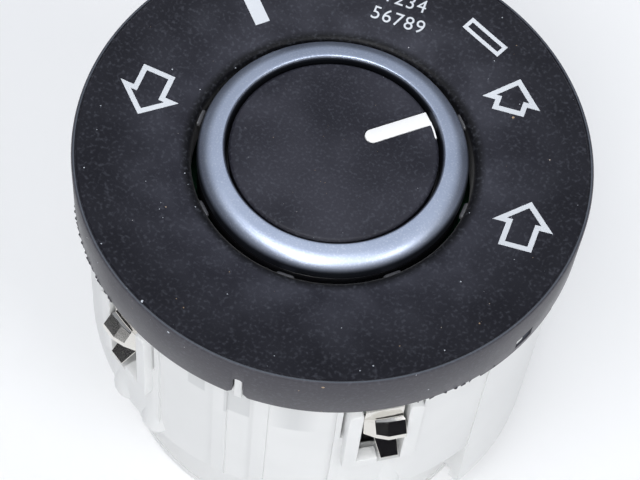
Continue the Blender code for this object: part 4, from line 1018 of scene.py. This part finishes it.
crown_radii = [(CAP_R - CAP_CHAMFER) * step / CROWN_STEPS for step in range(CROWN_STEPS + 1)]
crown = [(radius, cap_height(radius)) for radius in crown_radii]
cap = turned(
    "knob_cap_disc",
    crown + [(CAP_R, cap_height(CAP_R) - CAP_CHAMFER), (CAP_R, RING_LOW_Z), (0.0, RING_LOW_Z)],
    soft=((CROWN_STEPS, 0.00015),), open_at_axis=True,
)
POINTER_TURN = Matrix.Rotation(math.radians(43.5), 4, "Z")


def pointer_bar(name, half, inner, outer, low, high, edge):
    """A bar on the pointer's line, with its inner end rounded."""
    outline = [(inner, -half), (outer, -half), (outer, half), (inner, half)]
    return slab(name, outline, low, high, ((0, half * 0.98), (3, half * 0.98)), edge, POINTER_TURN)


POINTER_HALF = 0.00098
POINTER_GAP = 0.0001
slot = pointer_bar("pointer_slot", POINTER_HALF + POINTER_GAP, 0.0041, 0.0135, 0.0500, 0.0560, 0.0)
worked(cap, [slot], "DIFFERENCE")
smooth(cap)
cap.data.materials.append(cap_grain)
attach(cap, "knob")
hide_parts("knob_cap")

pointer_white_painted_glow = moulded_finish(
    "pointer_milky_white_painted_glow", ((0.90, 0.90, 0.90), (0.94, 0.94, 0.94)), (0.22, 0.30),
    grain=2600.0, depth=0.000006,
)
# Painted glow: a weak emission brightens the bar; the lamps under it give no light.
tuned(pointer_white_painted_glow, {"Emission Color": (1.0, 1.0, 1.0, 1.0), "Emission Strength": 0.12})
pointer = pointer_bar(
    "pointer_bar", POINTER_HALF, 0.0042, CAP_R - 0.00006, RING_LOW_Z + 0.0001, CAP_TOP_Z, 0.00012
)
# A short tail of the lens runs along the cap's edge.
tail = wall_piece("pointer_tail", CAP_R - 0.00024, CAP_R - 0.00004, 30.0, 41.0, 0.0525, 0.05425)
worked(pointer, [tail], "UNION")
for point in pointer.data.vertices:
    if point.co.z > 0.0530:
        point.co.z += cap_height(math.hypot(point.co.x, point.co.y)) - CAP_TOP_Z + 0.00003
smooth(pointer, 40.0)
pointer.data.materials.append(pointer_white_painted_glow)
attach(pointer, "knob")
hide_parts("pointer_lens")


# Inner parts.
# What the housing hides: board, lamps, pins, screws, light guide, rotor, detent, bush and
# wiper keep their own forms and get the finishes of their materials.
solder_mask = moulded_finish(
    "solder_mask", ((0.015, 0.12, 0.05), (0.03, 0.18, 0.08)), (0.30, 0.42),
    grain=1800.0, depth=0.00001,
)
clear_guide = moulded_finish(
    "clear_guide", ((0.78, 0.82, 0.86), (0.86, 0.89, 0.92)), (0.08, 0.14),
    grain=1200.0, depth=0.000004,
)
tuned(clear_guide, {"Transmission Weight": 0.9, "IOR": 1.49})
inner_black = moulded_finish(
    "inner_black", ((0.010, 0.010, 0.012), (0.018, 0.018, 0.020)), (0.38, 0.50),
    grain=2400.0, depth=0.00001,
)
turned_brass = moulded_finish(
    "turned_brass", ((0.58, 0.41, 0.15), (0.70, 0.52, 0.24)), (0.20, 0.34),
    grain=2000.0, depth=0.000006, metallic=1.0,
)
tinned_pin = moulded_finish(
    "tinned_pin", ((0.56, 0.54, 0.49), (0.68, 0.66, 0.60)), (0.22, 0.36),
    grain=2000.0, depth=0.000006, metallic=1.0,
)
lamp_body = moulded_finish(
    "lamp_body", ((0.78, 0.75, 0.60), (0.86, 0.84, 0.72)), (0.30, 0.40),
    grain=2000.0, depth=0.000006,
)
inner_parts = {
    "circuit_board": solder_mask, "light_guide": clear_guide,
    "rotor": inner_black, "detent_ring": inner_black,
    "shaft_bush": turned_brass, "contact_wiper": turned_brass,
    "detent_spring": nickel, "retaining_ring": nickel,
    "board_screw_1": nickel, "board_screw_2": nickel,
}
for number in range(1, 7):
    inner_parts[f"contact_pin_{number}"] = tinned_pin
    inner_parts[f"lamp_{number}"] = lamp_body
for name, finish in inner_parts.items():
    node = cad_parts[name]
    node.data.materials.clear()
    node.data.materials.append(finish)


# Table, lamps and camera.
# A plain pale table top under soft studio light, seen from where the photograph was taken.
floor_shape = bmesh.new()
bmesh.ops.create_grid(floor_shape, x_segments=1, y_segments=1, size=3.0)
floor = piece_from(floor_shape, "table_top")
table_finish = bpy.data.materials.new("table_white")
table_finish.use_nodes = True
tuned(table_finish, {
    "Base Color": (0.81, 0.812, 0.815, 1.0), "Roughness": 0.6, "Emission Color": (1.0, 1.0, 1.0, 1.0),
})
# The table glows faintly to the camera and in what mirrors or lets it through, not on the part.
table_tree = table_finish.node_tree
rays = table_tree.nodes.new("ShaderNodeLightPath").outputs
shown = math_step(table_tree, "ADD", rays["Is Camera Ray"], rays["Is Glossy Ray"])
shown = math_step(table_tree, "ADD", shown, rays["Is Transmission Ray"])
glow = math_step(table_tree, "MULTIPLY", shown, 0.17)
wire(table_tree, glow, table_tree.nodes["Principled BSDF"], "Emission Strength")
floor.data.materials.append(table_finish)
floor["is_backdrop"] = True

# The room is dark round the horizon and grows light and cool overhead.
world = bpy.data.worlds.new("studio_room")
world.use_nodes = True
bpy.context.scene.world = world
room = world.node_tree
sky = room.nodes["Background"]
sky.inputs["Strength"].default_value = 0.90
ways = room.nodes.new("ShaderNodeTexCoord")
split = room.nodes.new("ShaderNodeSeparateXYZ")
wire(room, ways.outputs["Generated"], split, "Vector")
lift = room.nodes.new("ShaderNodeMapRange")
lift.inputs["From Min"].default_value = 0.35
lift.inputs["From Max"].default_value = 1.0
wire(room, split.outputs["Z"], lift, "Value")
shade = room.nodes.new("ShaderNodeMix")
shade.data_type = "RGBA"
shade.inputs["A"].default_value = (0.012, 0.012, 0.016, 1.0)
shade.inputs["B"].default_value = (0.86, 0.91, 1.0, 1.0)
wire(room, lift.outputs["Result"], shade, "Factor")
wire(room, shade.outputs["Result"], sky, "Color")
LOOK_AT = Vector((0.0, 0.0, 0.04))


def soft_lamp(name, place, size, power):
    """A square studio lamp that looks at the switch."""
    light = bpy.data.lights.new(name, "AREA")
    light.shape = "SQUARE"
    light.size = size
    light.energy = power
    lamp = bpy.data.objects.new(name, light)
    bpy.context.scene.collection.objects.link(lamp)
    lamp.location = place
    lamp.rotation_euler = (LOOK_AT - Vector(place)).to_track_quat("-Z", "Y").to_euler()
    return lamp


soft_lamp("key_lamp", (-0.28, -1.04, 2.00), 1.20, 18.0)
soft_lamp("front_lamp", (0.24, -1.90, 1.44), 0.80, 13.0)
soft_lamp("right_lamp", (1.90, -0.84, 1.60), 1.10, 18.0)

lens = bpy.data.cameras.new("camera")
lens.lens = 112.5
lens.sensor_width = 36.0
lens.clip_start = 0.01
lens.clip_end = 10.0
camera = bpy.data.objects.new("camera", lens)
bpy.context.scene.collection.objects.link(camera)
camera.location = (0.032045, -0.128101, 0.260235)
camera.rotation_euler = (math.radians(29.8225), math.radians(-3.5007), math.radians(20.2803))
bpy.context.scene.camera = camera
bpy.context.scene.view_settings.view_transform = "Standard"

low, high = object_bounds()
